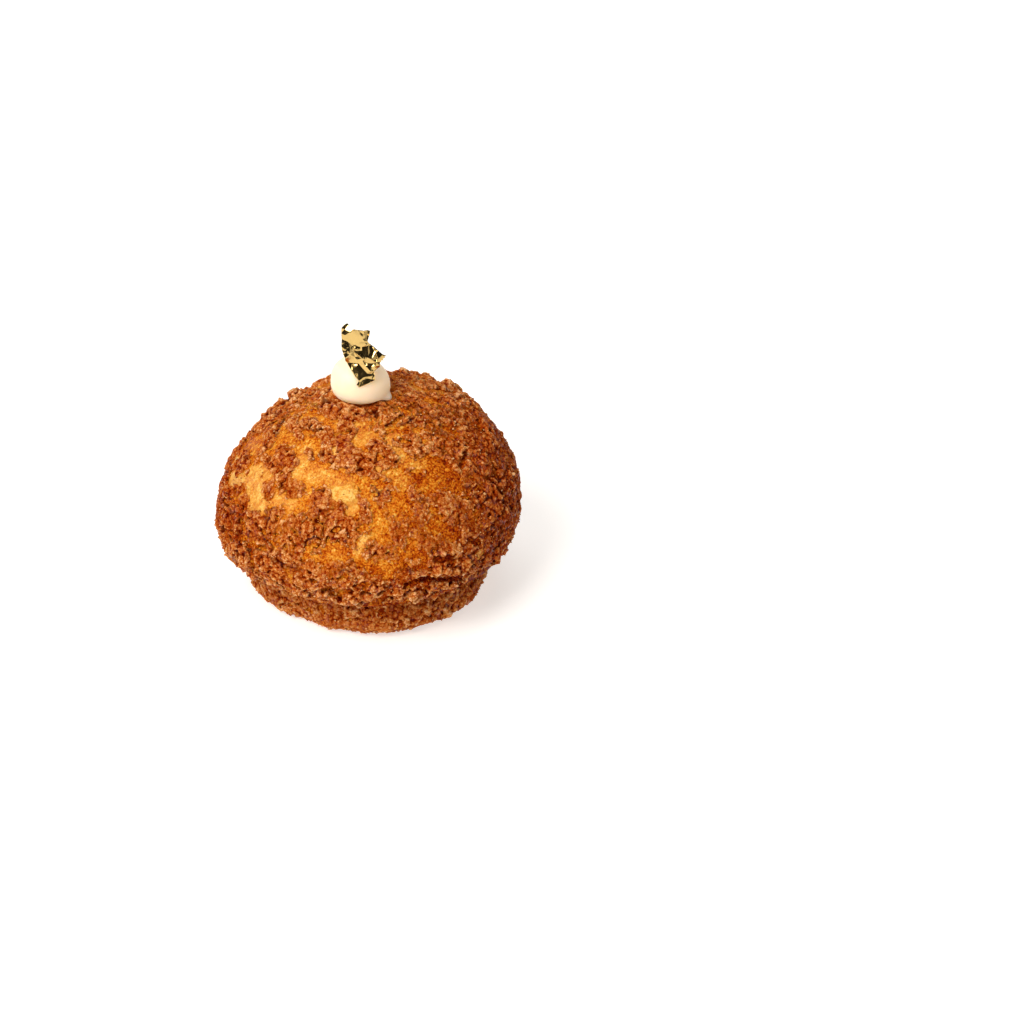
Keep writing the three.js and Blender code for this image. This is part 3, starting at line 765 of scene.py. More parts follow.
def film_colour(tree, place):
    """Amber skin with a film of molten sugar and fine crumb on it: its colour and relief."""
    pale = value_of(tree, "pale")
    own, off = sugar_grains(tree, place, 0.7)
    sand = around_zero(tree, noise(tree, place, 0.48, 3.0, 0.7))
    upright = add_node(tree, "ShaderNodeMapping", None, {"Vector": place, "Scale": (1.0, 1.0, 0.30)})
    wrinkles = around_zero(tree, noise(tree, upright.outputs["Vector"], 0.9, 3.0, 0.6))
    clouds = around_zero(tree, noise(tree, place, 3.2, 4.0, 0.6))
    # Painted shade: each grain is coloured darker toward its edge, where it meets the next.
    grainy = add_up(
        tree, step_node(tree, own.outputs["Green"], 0.86, 1.0, 0.0, 0.24),
        (step_node(tree, off, 0.50, 0.80), -0.14), (own.outputs["Red"], 0.20), (sand, 1.80),
    )
    tone = add_up(
        tree, pale,
        (grainy, step_node(tree, pale, 0.45, 0.95, 1.0, 0.5)),
        (clouds, step_node(tree, pale, 0.30, 0.80, 0.85, 1.2)),
        (wrinkles, step_node(tree, pale, 0.45, 0.85, 0.0, 0.75)),
    )
    colour = add_node(tree, "ShaderNodeValToRGB", sockets={"Fac": tone}, stops=[
        (0.0, linear("#5a0800")), (1.0, linear("#f4c264")), (0.20, linear("#902800")),
        (0.42, linear("#c05804")), (0.65, linear("#db8420")), (0.83, linear("#e39b36")),
        (0.93, linear("#eba63e")),
    ])
    return colour.outputs["Color"], add_up(tree, sand, (math_node(tree, "MULTIPLY", off, off), -0.6))


# Pale where the paste stretched last and the oven hardly browned it; elsewhere a
# film of molten sugar and fine crumb lies on it, amber, rough and greasy.
film_tone, film_relief = film_colour(tree, place)
skin_bump = add_node(tree, "ShaderNodeBump", sockets={
    "Height": film_relief, "Strength": 1.0, "Distance": 0.50 * MM,
})
choux = add_node(tree, "ShaderNodeBsdfPrincipled", sockets={
    "Base Color": film_tone, "Roughness": 0.36, "Normal": skin_bump.outputs["Normal"],
    "Subsurface Weight": 0.15, "Subsurface Radius": (1.0, 0.35, 0.08), "Subsurface Scale": 0.8 * MM,
    "Specular IOR Level": step_node(tree, value_of(tree, "pale"), 0.45, 0.70, 0.03, 0.30),
})
add_node(tree, "ShaderNodeOutputMaterial", sockets={"Surface": choux.outputs["BSDF"]})
skin.data.materials.append(choux_material)
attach(skin, "root")
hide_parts("choux_puff")


# ------------------------------------------------------------------------ craquelin
# The crust: a disc of sugar, butter and flour dough that melted, browned and broke
# into sandy plates as the bun rose. It is built of grains on a thin slab and fused,
# in nine closed stretches that meet under their own crumb.
PLATE_SIZE = 9.0
PLATE_SPREAD = 0.35
CRACK_WIDTH = 0.24
LEFT_IN_CRACK = 0.45
ISLAND_SHARE = 0.6
ISLAND_BUMPS = ((0.7, 3.8), (0.6, 1.8))
PLATE_FRAY = 0.8
PLATE_EDGE = 0.6
COVER_LEVEL = 0.29
COVER_EDGE = 0.14
THINNEST_CRUST = 0.42
SKIRT_CRUST = 0.35
RIM_EDGE = 0.7
RIM_SWELL = 0.5
RIM_SWELL_REACH = 4.0
COLLAR = 2.4
COLLAR_OFF_CREAM = 0.6
COLLAR_REACH = 3.2
COLLAR_UNEVENNESS = 0.5
COLLAR_BUMP_SIZE = 2.4
CRUST_UNDER_CREAM = 0.35
UNDER_CREAM_FROM, UNDER_CREAM_FADE = 4.8, 1.4
CLEFT_DEPTH = 0.8
CHUNK_SIZE = 3.0
CHUNK_SPREAD = 0.55
CHUNK_GAP = 0.15
CHUNK_GAP_WIDTH = (0.14, 0.22)
CHUNK_CLOSED_SIZE = 3.1
CHUNK_BEND = 0.5
CHUNK_BEND_SIZE = 1.5
CROWN_SHARE = 0.80
SKIRT_SHARE = 0.43

# The thin slab, the grains that stand on it with their lumps, clumps and pits, and
# how finely all of it is fused.
SLAB_SHARE = 0.74
SLAB_ROOT = 0.6
SLAB_THINNEST = 0.34
SLAB_SUBDIVISIONS = 8
GRAINS = 64000
GRAIN_THINNEST = 0.13
GRAIN_RADIUS = (0.20, 0.29)
GRAIN_SPREAD = 0.28
GRAIN_STRETCH = (0.7, 1.35)
GRAIN_DENTS = 0.36
GRAIN_LEVELS = (0.42, 0.66)
LUMP_SHARE = 0.05
LUMP_GROWTH = 1.7
CLUMP_SIZE = 2.2
CLUMP_HEIGHT = 0.16
CLUMP_IN_SLAB = 0.25
PIT_SIZE = 2.4
PIT_IN_GRAINS = -0.80
PIT_IN_SLAB = -0.72
PIT_COARSE = 0.35
PIT_EDGE = 0.16
PIT_DEPTH = 1.1
FUSE_SIZE_FRONT = 0.24
FUSE_SIZE_BACK = 0.30
FUSE_ADAPTIVITY = 0.05
LOWEST = 0.02
CRUMBS = 5400

# How far round a hollow is felt, how dark the painted shade in the gaps is, and from
# where on the sides painted shade darkens the crust.
HOLLOW_ROUNDS = 16
GAP_PAINTED_SHADE = 0.7
SIDE_SHADE_LEFT = -24
SIDE_SHADE_RIGHT = 23
SIDE_SHADE_RIGHT_SHARE = 0.8
SIDE_SHADE_ABOVE = 18


def plate_at(points, size, seed):
    """How far inside its plate each point is, and the plate's own random number."""
    place = points / size
    cell = np.floor(place)
    nearest = np.full(len(points), np.inf)
    second = nearest.copy()
    own = np.zeros(len(points))
    for n in range(27):
        other = cell + np.array([n % 3 - 1, n // 3 % 3 - 1, n // 9 - 1])
        middle = other + np.stack([chance(other, seed + i) for i in range(3)], axis=-1)
        distance = np.linalg.norm(middle - place, axis=1)
        closer = distance < nearest
        second = np.where(closer, nearest, np.minimum(second, distance))
        own = np.where(closer, chance(other, seed + 3), own)
        nearest = np.minimum(nearest, distance)
    return second - nearest, own


def crust_thickness(azimuth, points, thick, bare):
    """How thick the crust lies on the skin, from the map and the bareness."""
    inside, own = plate_at(points, PLATE_SIZE, CRUST_SEED + 10)
    islands = ISLAND_SHARE * ripples(points, 25, *ISLAND_BUMPS)
    cover = smooth(0.5 + (0.8 * thick - COVER_LEVEL + islands) / COVER_EDGE)
    whole = LEFT_IN_CRACK + (1 - LEFT_IN_CRACK) * smooth(inside / CRACK_WIDTH)
    general = thick * (1 + PLATE_SPREAD * (own - 0.5) * 2) * whole
    general = np.maximum(general, THINNEST_CRUST) * cover
    crust = general * (1 - bare)
    frayed = raggedness(points + 31.0)
    for start, end, half, thickness in plate_lines:
        inside = inside_line(points, start, end, half)
        plate = thickness * smooth((inside + PLATE_FRAY * frayed) / PLATE_EDGE + 0.5)
        crust = np.maximum(crust, plate)
    rim = above_rim(azimuth, points[:, 2]) + PLATE_FRAY * frayed
    edge = smooth(rim / RIM_EDGE + 0.5)
    foot = smooth((crease_height(azimuth) - points[:, 2]) / 2)
    crust *= SKIRT_CRUST + (1 - SKIRT_CRUST) * np.maximum(edge, foot)
    crust += RIM_SWELL * edge * smooth(1 - rim / RIM_SWELL_REACH) * (1 - bare)
    crust *= 1 - smooth(crevice_depth(points) / CLEFT_DEPTH)
    beside = smooth(1 - np.abs(from_cream(points) - CREAM_RADIUS - COLLAR_OFF_CREAM) / COLLAR_REACH)
    beside *= 1 + COLLAR_UNEVENNESS * ripple(points, COLLAR_BUMP_SIZE, 29)
    left_and_front = smooth((3 - points[:, 0] - 0.5 * points[:, 1]) / 6)
    crust += COLLAR * beside * left_and_front
    cream = 1 - smooth((from_cream(points) - UNDER_CREAM_FROM) / UNDER_CREAM_FADE)
    return (crust * (1 - cream) + CRUST_UNDER_CREAM * cream) * quiet(azimuth, points)


def chunks_at(points, coarse):
    """The gaps between the angular chunks that the crust broke into, and each chunk's own number."""
    bend = np.stack([ripple(points, CHUNK_BEND_SIZE, 81 + i) for i in range(3)], axis=-1)
    inside, own = plate_at(points + CHUNK_BEND * bend, CHUNK_SIZE, CRUST_SEED + 30)
    closed = smooth(0.5 + 1.2 * ripple(points, CHUNK_CLOSED_SIZE, 84))
    width = CHUNK_GAP_WIDTH[0] + CHUNK_GAP_WIDTH[1] * coarse
    return (1 - closed * (1 - CHUNK_GAP - 0.4 * coarse)) * (1 - smooth(inside / width)), own


def chunk_height(points, coarse):
    """How high each chunk stands, as a factor, with the gaps between them."""
    gap, own = chunks_at(points, coarse)
    return 1 + (CHUNK_SPREAD * (own - 0.5) * 2 - gap) * smooth(0.25 + coarse)


def zone_of(azimuth, share):
    """Which stretch of crust a place belongs to: five round the side, two above, two below."""
    side = np.floor((azimuth + np.pi / 5) / (2 * np.pi / 5)).astype(int) % 5
    front = np.abs(azimuth) < np.pi / 2
    return np.where(share > CROWN_SHARE, np.where(front, 5, 6),
                    np.where(share < SKIRT_SHARE, np.where(front, 7, 8), side))


def clumps(points):
    """Where the crumb stands high, from about -1.6 to 1.6."""
    return ripples(points, 61, (1, CLUMP_SIZE), (0.6, CLUMP_SIZE / 2))


def pits(points):
    """Where crumb is missing, from about -1.5 to 1.5: the lowest places are the pits."""
    return ripples(points, 63, (1, PIT_SIZE), (0.5, PIT_SIZE / 2))


def mesh_from(name, points, faces):
    """A new piece from arrays of points and of triangles."""
    mesh = bpy.data.meshes.new(name)
    mesh.vertices.add(len(points))
    mesh.vertices.foreach_set("co", np.asarray(points, dtype=np.float32).ravel())
    mesh.loops.add(faces.size)
    mesh.loops.foreach_set("vertex_index", faces.ravel().astype(np.int32))
    mesh.polygons.add(len(faces))
    mesh.polygons.foreach_set("loop_start", np.arange(len(faces), dtype=np.int32) * faces.shape[1])
    mesh.update(calc_edges=True)
    piece = bpy.data.objects.new(name, mesh)
    bpy.context.collection.objects.link(piece)
    return piece


def faces_of(piece):
    """A triangle mesh's faces as an array."""
    flat = np.empty(len(piece.data.polygons) * 3, dtype=np.int32)
    piece.data.polygons.foreach_get("vertices", flat)
    return flat.reshape(-1, 3)


def pattern_ball(subdivisions):
    """The directions and faces of a ball of even triangles, with no piece left."""
    piece, way = ball("pattern", subdivisions)
    faces = faces_of(piece)
    bpy.data.objects.remove(piece)
    return way, faces


def strewn(count):
    """Chance places all over: azimuth, share and points of the smooth bun."""
    way = rng.normal(size=(count, 3))
    way /= np.linalg.norm(way, axis=1, keepdims=True)
    azimuth, share = from_directions(way)
    return azimuth, share, bun_point(azimuth, share)


def closed_slab(outer, inner, faces):
    """A slab between two skins: both faces, and a wall along every open edge."""
    used, local = np.unique(faces, return_inverse=True)
    local = local.reshape(-1, 3)
    count = len(used)
    edges = np.concatenate([local[:, [0, 1]], local[:, [1, 2]], local[:, [2, 0]]])
    forward = edges[:, 0].astype(np.int64) * count + edges[:, 1]
    backward = edges[:, 1].astype(np.int64) * count + edges[:, 0]
    rim = edges[~np.isin(forward, backward)]
    walls = [
        np.stack([rim[:, 1], rim[:, 0], rim[:, 0] + count], axis=1),
        np.stack([rim[:, 1], rim[:, 0] + count, rim[:, 1] + count], axis=1),
    ]
    points = np.concatenate([outer[used], inner[used]])
    return points, np.concatenate([local, local[:, ::-1] + count, *walls])


def scattered(shape_points, shape_faces, middles, sizes, turns, dented):
    """Copies of one small shape, each stretched, dented and turned its own way."""
    w, x, y, z = (turns / np.linalg.norm(turns, axis=1, keepdims=True)).T
    spin = np.stack([
        np.stack([1 - 2 * (y * y + z * z), 2 * (x * y - z * w), 2 * (x * z + y * w)], -1),
        np.stack([2 * (x * y + z * w), 1 - 2 * (x * x + z * z), 2 * (y * z - x * w)], -1),
        np.stack([2 * (x * z - y * w), 2 * (y * z + x * w), 1 - 2 * (x * x + y * y)], -1),
    ], axis=1)
    dents = rng.uniform(1 - dented, 1 + dented, (len(middles), len(shape_points), 1))
    shapes = shape_points[None] * sizes[:, None] * dents
    points = np.einsum("nij,nkj->nki", spin, shapes) + middles[:, None]
    faces = shape_faces[None] + np.arange(len(middles))[:, None, None] * len(shape_points)
    return points.reshape(-1, 3), faces.reshape(-1, 3)


def above_skin(points):
    """For points near the bun: azimuth, share and height over the smooth bun."""
    across = points[:, 0] - lean_at(points[:, 2])
    radius = np.hypot(across, points[:, 1])
    azimuth = np.arctan2(across, -points[:, 1])
    level = points[:, 2].copy()
    for i in range(6):
        level = points[:, 2] - front_lift(azimuth, level)
    radius -= foot_spread(azimuth, radius, level)
    marks = np.linspace(0, 1, 300)
    mark_radius, mark_height = profile_at(marks)
    nearest = np.empty(len(points), dtype=int)
    for first in range(0, len(points), 20000):
        part = slice(first, first + 20000)
        gap = (radius[part, None] - mark_radius) ** 2 + (level[part, None] - mark_height) ** 2
        nearest[part] = gap.argmin(axis=1)
    share = marks[nearest]
    normal = bun_normal(np.zeros(len(share)), share)
    height = (radius - mark_radius[nearest]) * -normal[:, 1]
    height += (level - mark_height[nearest]) * normal[:, 2]
    return azimuth, share, height


def hollowness(piece, points, rounds):
    """How deep each vertex lies among its neighbours, in the units of the points."""
    edges = np.empty(len(piece.data.edges) * 2, dtype=np.int32)
    piece.data.edges.foreach_get("vertices", edges)
    a, b = edges.reshape(-1, 2).T
    count = np.bincount(a, minlength=len(points)) + np.bincount(b, minlength=len(points))
    soft = points.copy()
    for i in range(rounds):
        soft = np.stack([
            np.bincount(a, soft[b, axis], len(points)) + np.bincount(b, soft[a, axis], len(points))
            for axis in range(3)
        ], axis=1) / count[:, None]
    normals = np.empty(len(points) * 3)
    piece.data.vertices.foreach_get("normal", normals)
    return ((soft - points) * normals.reshape(-1, 3)).sum(axis=1)


rng = np.random.default_rng(7)
grain_shape, grain_faces = pattern_ball(1)

# Grains all over, each at its own height in the crust's thickness; none in the pits.
grain_azimuth, grain_share, grain_base = strewn(GRAINS)
grain_thick, coarseness = crust_map(grain_base)
grain_crust = crust_thickness(grain_azimuth, grain_base, grain_thick, bareness(grain_base)[0])
grain_size = GRAIN_RADIUS[0] + (GRAIN_RADIUS[1] - GRAIN_RADIUS[0]) * coarseness
grain_size *= np.exp(GRAIN_SPREAD * rng.normal(size=GRAINS))
lumps = rng.uniform(0, 1, GRAINS) < LUMP_SHARE * (0.4 + coarseness)
grain_size[lumps] *= LUMP_GROWTH
grain_level = rng.uniform(*GRAIN_LEVELS, GRAINS)
grain_level += CLUMP_HEIGHT * (1 + coarseness) * clumps(grain_base)
grain_level *= chunk_height(grain_base, coarseness)
kept = (grain_crust > GRAIN_THINNEST) & (rng.uniform(0, 1, GRAINS) < 0.55 + grain_crust)
kept &= pits(grain_base) > PIT_IN_GRAINS + PIT_COARSE * coarseness
grain_rise = skin_relief(grain_azimuth, grain_base) + grain_crust * grain_level
grain_middle = grain_base + bun_normal(grain_azimuth, grain_share) * grain_rise[:, None]
grain_zone = zone_of(grain_azimuth, grain_share)
grain_stretch = grain_size[:, None] * rng.uniform(*GRAIN_STRETCH, (GRAINS, 3))
grain_turn = rng.normal(size=(GRAINS, 4))

# The slab under them, broken into chunks, with its own fine unevenness.
way, slab_ball_faces = pattern_ball(SLAB_SUBDIVISIONS)
slab_azimuth, slab_share = from_directions(way)
slab_base = bun_point(slab_azimuth, slab_share)
slab_thick, slab_coarse = crust_map(slab_base)
slab_crust = crust_thickness(slab_azimuth, slab_base, slab_thick, bareness(slab_base)[0])
pitted = smooth((PIT_IN_SLAB + PIT_COARSE * slab_coarse - pits(slab_base)) / PIT_EDGE)
fine = ripples(slab_base, 65, (0.14, 0.9), (0.08, 0.5))
slab_top = slab_crust * SLAB_SHARE * chunk_height(slab_base, slab_coarse)
slab_top = slab_top * (1 + CLUMP_IN_SLAB * clumps(slab_base)) + fine * smooth(slab_crust)
slab_top *= 1 - PIT_DEPTH * pitted
normals = bun_normal(slab_azimuth, slab_share)
slab_skin = slab_base + normals * skin_relief(slab_azimuth, slab_base)[:, None]
slab_outer = slab_skin + normals * slab_top[:, None]
slab_inner = slab_skin - normals * SLAB_ROOT
slab_zone = zone_of(slab_azimuth, slab_share)
crusted = (slab_crust > SLAB_THINNEST)[slab_ball_faces].all(axis=1)

ZONES = [
    "front", "front_right", "back_right", "back_left", "front_left",
    "crown_front", "crown_back", "skirt_front", "skirt_back",
]
crust_pieces = []
crumb_places = []
crumb_normals = []
for number, zone in enumerate(ZONES):
    here = crusted & (slab_zone == number)[slab_ball_faces].any(axis=1)
    slab_points, slab_faces = closed_slab(slab_outer, slab_inner, slab_ball_faces[here])
    mine = kept & (grain_zone == number)
    crumb_points, crumb_faces = scattered(
        grain_shape, grain_faces, grain_middle[mine], grain_stretch[mine], grain_turn[mine], GRAIN_DENTS,
    )
    crust = mesh_from(
        "craquelin_" + zone,
        np.concatenate([slab_points, crumb_points]) * MM,
        np.concatenate([slab_faces, crumb_faces + len(slab_points)]),
    )
    select_only(crust)
    fuse = crust.modifiers.new("fuse", "REMESH")
    fuse.mode = "VOXEL"
    fuse.voxel_size = (FUSE_SIZE_BACK if "back" in zone else FUSE_SIZE_FRONT) * MM
    fuse.adaptivity = FUSE_ADAPTIVITY
    bpy.ops.object.modifier_apply(modifier=fuse.name)

    fused = vertices_of(crust) / MM
    crust_azimuth, crust_share, height = above_skin(fused)
    under = bun_point(crust_azimuth, crust_share)
    rise = height - skin_relief(crust_azimuth, under)
    # Painted shade: the crust is coloured darker toward the far left above a height, and toward the right.
    left = smooth((SIDE_SHADE_LEFT - fused[:, 0]) / 10) * smooth((fused[:, 2] - SIDE_SHADE_ABOVE) / 10)
    right = SIDE_SHADE_RIGHT_SHARE * smooth((fused[:, 0] - SIDE_SHADE_RIGHT) / 12)
    gap, chunk = chunks_at(under, crust_map(under)[1])
    crevice = smooth(crevice_depth(under) / CLEFT_DEPTH)
    keep_values(crust, "rise", rise)
    keep_values(crust, "hollow", hollowness(crust, fused, HOLLOW_ROUNDS))
    keep_values(crust, "floury", smooth((crease_height(crust_azimuth) + 1 - fused[:, 2]) / 2))
    keep_values(crust, "pale", amber(under))
    keep_values(crust, "painted_side_shade", left + right)
    # Painted shade in the crevices and in the open gaps between chunks.
    keep_values(crust, "cleft_shade", np.maximum(crevice, GAP_PAINTED_SHADE * smooth((gap - 0.6) / 0.3)))
    keep_values(crust, "chunk", chunk)
    fused[:, 2] = np.maximum(fused[:, 2], LOWEST)
    move_vertices(crust, fused * MM)
    crust_pieces.append(crust)
    outside = np.flatnonzero(rise > 0.1)
    picked = rng.choice(outside, size=min(CRUMBS // len(ZONES), len(outside)), replace=False)
    crumb_places.append(fused[picked])
    crumb_normals.append(bun_normal(crust_azimuth[picked], crust_share[picked]))

# Baked sugar dough: dusty red-brown on top, amber where it lies thin and floury on the
# foot, with single grains lighter or darker and a few glossy. Painted shade makes it a dark
# caramel red in the pits, clefts and gaps between grains, lighter on ridges and darker at both sides.
crust_material, tree = new_material("baked_sugar_crust")
place = add_node(tree, "ShaderNodeTexCoord").outputs["Object"]
film_tone = film_colour(tree, place)[0]
own, off = sugar_grains(tree, place, 0.8)
speck = noise(tree, place, 0.44, 3.0, 0.7)
patch = noise(tree, place, 7.0, 2.0, 0.5)
# Painted shade and light: darker the deeper a place lies among its neighbours and lighter on ridges, and
# darker toward each grain's edge.
tone = add_up(
    tree, range_node(tree, value_of(tree, "hollow"), -0.28, 0.16, 0.15, -0.26),
    (step_node(tree, off, 0.50, 0.80), -0.26),
    (own.outputs["Red"], 0.18),
    (around_zero(tree, speck), step_node(tree, value_of(tree, "floury"), 0.0, 1.0, 1.25, 0.80)),
    (value_of(tree, "chunk"), 0.12),
    (patch, 0.16),
    (value_of(tree, "floury"), 0.05),
    (value_of(tree, "painted_side_shade"), -0.14),
)
dusty_colour = add_node(
    tree, "ShaderNodeValToRGB", sockets={"Fac": math_node(tree, "ADD", tone, 0.49)},
    stops=[
        (0.15, linear("#560600")), (1.0, linear("#f0b880")), (0.38, linear("#8a2600")),
        (0.55, linear("#ac4d12")), (0.70, linear("#c26c2c")), (0.85, linear("#d68d4a")),
    ],
)
on_top = add_up(tree, value_of(tree, "rise"), (speck, 0.5), (value_of(tree, "floury"), 1.0))
crust_colour = add_node(tree, "ShaderNodeMix", {"data_type": "RGBA"}, {
    0: step_node(tree, on_top, 0.25, 0.75), 6: film_tone, 7: dusty_colour.outputs["Color"],
})
# Painted shade: hollows and clefts are mixed toward a dark caramel red, less on the foot.
in_cleft = step_node(tree, value_of(tree, "floury"), 0.0, 1.0, 0.8, 0.2)
deep = add_up(
    tree, step_node(tree, value_of(tree, "hollow"), 0.05, 0.24),
    (value_of(tree, "cleft_shade"), in_cleft),
)
deep_colour = add_node(tree, "ShaderNodeMix", {"data_type": "RGBA"}, {
    0: math_node(tree, "MINIMUM", deep, 1.0), 6: crust_colour.outputs[2], 7: linear("#4c0a00"),
})
grain_height = add_up(tree, speck, (math_node(tree, "MULTIPLY", off, off), -0.8))
crust_bump = add_node(tree, "ShaderNodeBump", sockets={
    "Height": grain_height, "Strength": 1.0, "Distance": 0.50 * MM,
})
sugar_crust = add_node(tree, "ShaderNodeBsdfPrincipled", sockets={
    "Base Color": deep_colour.outputs[2], "Normal": crust_bump.outputs["Normal"],
    "Roughness": step_node(tree, own.outputs["Blue"], 0.80, 0.88, 0.60, 0.26),
    "Subsurface Weight": 0.10, "Subsurface Radius": (1.0, 0.35, 0.08), "Subsurface Scale": 0.8 * MM,
    "Specular IOR Level": step_node(tree, own.outputs["Blue"], 0.82, 0.88, 0.01, 0.38),
})
add_node(tree, "ShaderNodeOutputMaterial", sockets={"Surface": sugar_crust.outputs["BSDF"]})
for crust in crust_pieces:
    crust.data.materials.append(crust_material)
    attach(crust, "root")
    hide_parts("choux_puff")


# ---------------------------------------------------------------------- sugar crumbs
# Loose-looking grains of sugar baked fast to the crust and the skin. They catch the
# light one by one. Each is an irregular ball about a third of a millimetre across.
CRUMBS_ON_SKIN = 1800
CRUMB_RADIUS = 0.15
CRUMB_SPREAD = 0.30
CRUMB_DENTS = 0.2
CRUMB_LOWEST = 1.0

crumb_azimuth, crumb_share, crumb_base = strewn(CRUMBS_ON_SKIN)
crumb_way = bun_normal(crumb_azimuth, crumb_share)
crumb_places.append(crumb_base + crumb_way * skin_relief(crumb_azimuth, crumb_base)[:, None])
crumb_normals.append(crumb_way)
crumb_places = np.concatenate(crumb_places)
crumb_normals = np.concatenate(crumb_normals)
clear = (crumb_places[:, 2] > CRUMB_LOWEST) & (under_cream(crumb_places) < 0.4)
crumb_places = crumb_places[clear]
count = len(crumb_places)
crumb_size = CRUMB_RADIUS * np.exp(CRUMB_SPREAD * rng.normal(size=count))
crumb_middle = crumb_places + crumb_normals[clear] * (0.5 * crumb_size)[:, None]
crumb_stretch = crumb_size[:, None] * rng.uniform(*GRAIN_STRETCH, (count, 3))
crumb_turn = rng.normal(size=(count, 4))
crumb_points, crumb_faces = scattered(
    grain_shape, grain_faces, crumb_middle, crumb_stretch, crumb_turn, CRUMB_DENTS,
)
crumbs = mesh_from("sugar_crumbs", crumb_points * MM, crumb_faces)
keep_values(crumbs, "own", np.repeat(rng.uniform(0, 1, count), len(grain_shape)))

# Sugar crystals in caramel: light to dark amber, each with a small soft glint.
crumb_material, tree = new_material("caramel_sugar")
crumb_colour = add_node(tree, "ShaderNodeValToRGB", sockets={"Fac": value_of(tree, "own")}, stops=[
    (0.0, linear("#9a420f")), (1.0, linear("#e6b980")), (0.6, linear("#b9692c")), (0.85, linear("#cf8c4c")),
])
sugar = add_node(tree, "ShaderNodeBsdfPrincipled", sockets={
    "Base Color": crumb_colour.outputs["Color"], "Roughness": 0.40, "Specular IOR Level": 0.25,
})
add_node(tree, "ShaderNodeOutputMaterial", sockets={"Surface": sugar.outputs["BSDF"]})
crumbs.data.materials.append(crumb_material)
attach(crumbs, "root")
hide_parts("choux_puff")


# ----------------------------------------------------------------------------- cream
# A small dollop of pastry cream, piped on the crown: a smooth dome with full sides,
# widest low down and higher at its left, with the point the nozzle left low on its
# right. It is a ball stretched up and pressed flat below.
CREAM_MIDDLE = 4.1
CREAM_WIDEST = -1.2
CREAM_ABOVE = 6.6
CREAM_BELOW = 2.9
CREAM_SQUARENESS = 2.4
CREAM_UNEVENNESS = 0.03
CREAM_TAIL = 1.7
CREAM_TAIL_AZIMUTH = math.radians(74)
CREAM_TAIL_DROP = 0.62
CREAM_TAIL_SPREAD = 0.04
CREAM_HEEL = 1.3
CREAM_SUBDIVISIONS = 7


def crown_height(x, y):
    """The height of the smooth bun's crown over a place."""
    height = np.full(np.shape(x), BUN_HEIGHT)
    for i in range(12):
        radius = np.hypot(x - lean_at(height), y)
        across = np.minimum(radius / BELLY_RADIUS, 1) ** DOME_ROUNDNESS
        height = BELLY_HEIGHT + (BUN_HEIGHT - BELLY_HEIGHT) * (1 - across) ** (1 / DOME_ROUNDNESS)
    return height


cream_height = float(crown_height(*CREAM_CENTRE)) + CREAM_MIDDLE
cream, directions = ball("cream_dollop_piped", CREAM_SUBDIVISIONS)
tail_way = np.array([math.sin(CREAM_TAIL_AZIMUTH), -math.cos(CREAM_TAIL_AZIMUTH), -CREAM_TAIL_DROP])
tail_way /= np.linalg.norm(tail_way)
off_tail = np.arccos(np.clip(directions @ tail_way, -1, 1))
tail = CREAM_TAIL * np.exp(-off_tail ** 2 / CREAM_TAIL_SPREAD)
uneven = 1 + CREAM_UNEVENNESS * ripple(directions, 0.9, 31)
heel = CREAM_HEEL * smooth((0.6 - directions[:, 0]) / 1.3) * smooth((directions[:, 2] + 0.8) / 0.9)
across = np.hypot(directions[:, 0], directions[:, 1])
flatter = across ** CREAM_SQUARENESS + np.abs(directions[:, 2]) ** CREAM_SQUARENESS
uneven *= flatter ** (-1 / CREAM_SQUARENESS)
half_height = np.where(directions[:, 2] > 0, CREAM_ABOVE, CREAM_BELOW)
cream_points = np.stack([
    CREAM_CENTRE[0] + directions[:, 0] * (CREAM_RADIUS * uneven + tail),
    CREAM_CENTRE[1] + directions[:, 1] * (CREAM_RADIUS * uneven + tail),
    cream_height + CREAM_WIDEST + directions[:, 2] * (half_height * uneven + tail) + heel,
], axis=-1)
floor_of_cream = crown_height(cream_points[:, 0], cream_points[:, 1]) + 0.1
cream_points[:, 2] = np.maximum(cream_points[:, 2], floor_of_cream)
move_vertices(cream, cream_points * MM)
select_only(cream)
bpy.ops.object.shade_smooth()

# Light sinks into the cream and comes out ivory, so its shaded side stays warm. A faint
# painted glow, standing for light scattered many times inside, lifts its shaded side.
cream_material, tree = new_material("pastry_cream")
ivory = add_node(tree, "ShaderNodeBsdfPrincipled", sockets={
    "Base Color": linear("#f3d7bb"), "Roughness": 0.50, "Specular IOR Level": 0.50,
    "Emission Color": linear("#ffdca0"), "Emission Strength": 0.18,
    "Subsurface Weight": 1.0, "Subsurface Radius": (1.0, 0.80, 0.55), "Subsurface Scale": 10.0 * MM,
})
add_node(tree, "ShaderNodeOutputMaterial", sockets={"Surface": ivory.outputs["BSDF"]})
cream.data.materials.append(cream_material)
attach(cream, "root")
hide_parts("cream_dollop")


# ------------------------------------------------------------------------- gold leaf
# A torn scrap of edible gold leaf, pressed on the front of the cream with tweezers
# and standing free above it. It is crumpled into flat facets that mirror the room.
LEAF_THICKNESS = 0.05
LEAF_CLEARANCE = 0.25
LEAF_LOOSE = (3.9, 8.6)
LEAF_WRAP = 2.6
LEAF_WRAP_MIDDLE = 1
LEAF_FOLD_SIZE = 1.1
LEAF_FOLD_HEIGHT = 0.06
LEAF_CUTS = 7

# The middle line goes up the leaf, in Y and Z from the middle of the cream.
LEAF_LINE = [(-7.6, 2.15), (-6.6, 3.88), (-5.6, 5.61), (-4.5, 8.4), (-3.6, 12.0), (-2.8, 16.3), (-2.6, 17.4)]

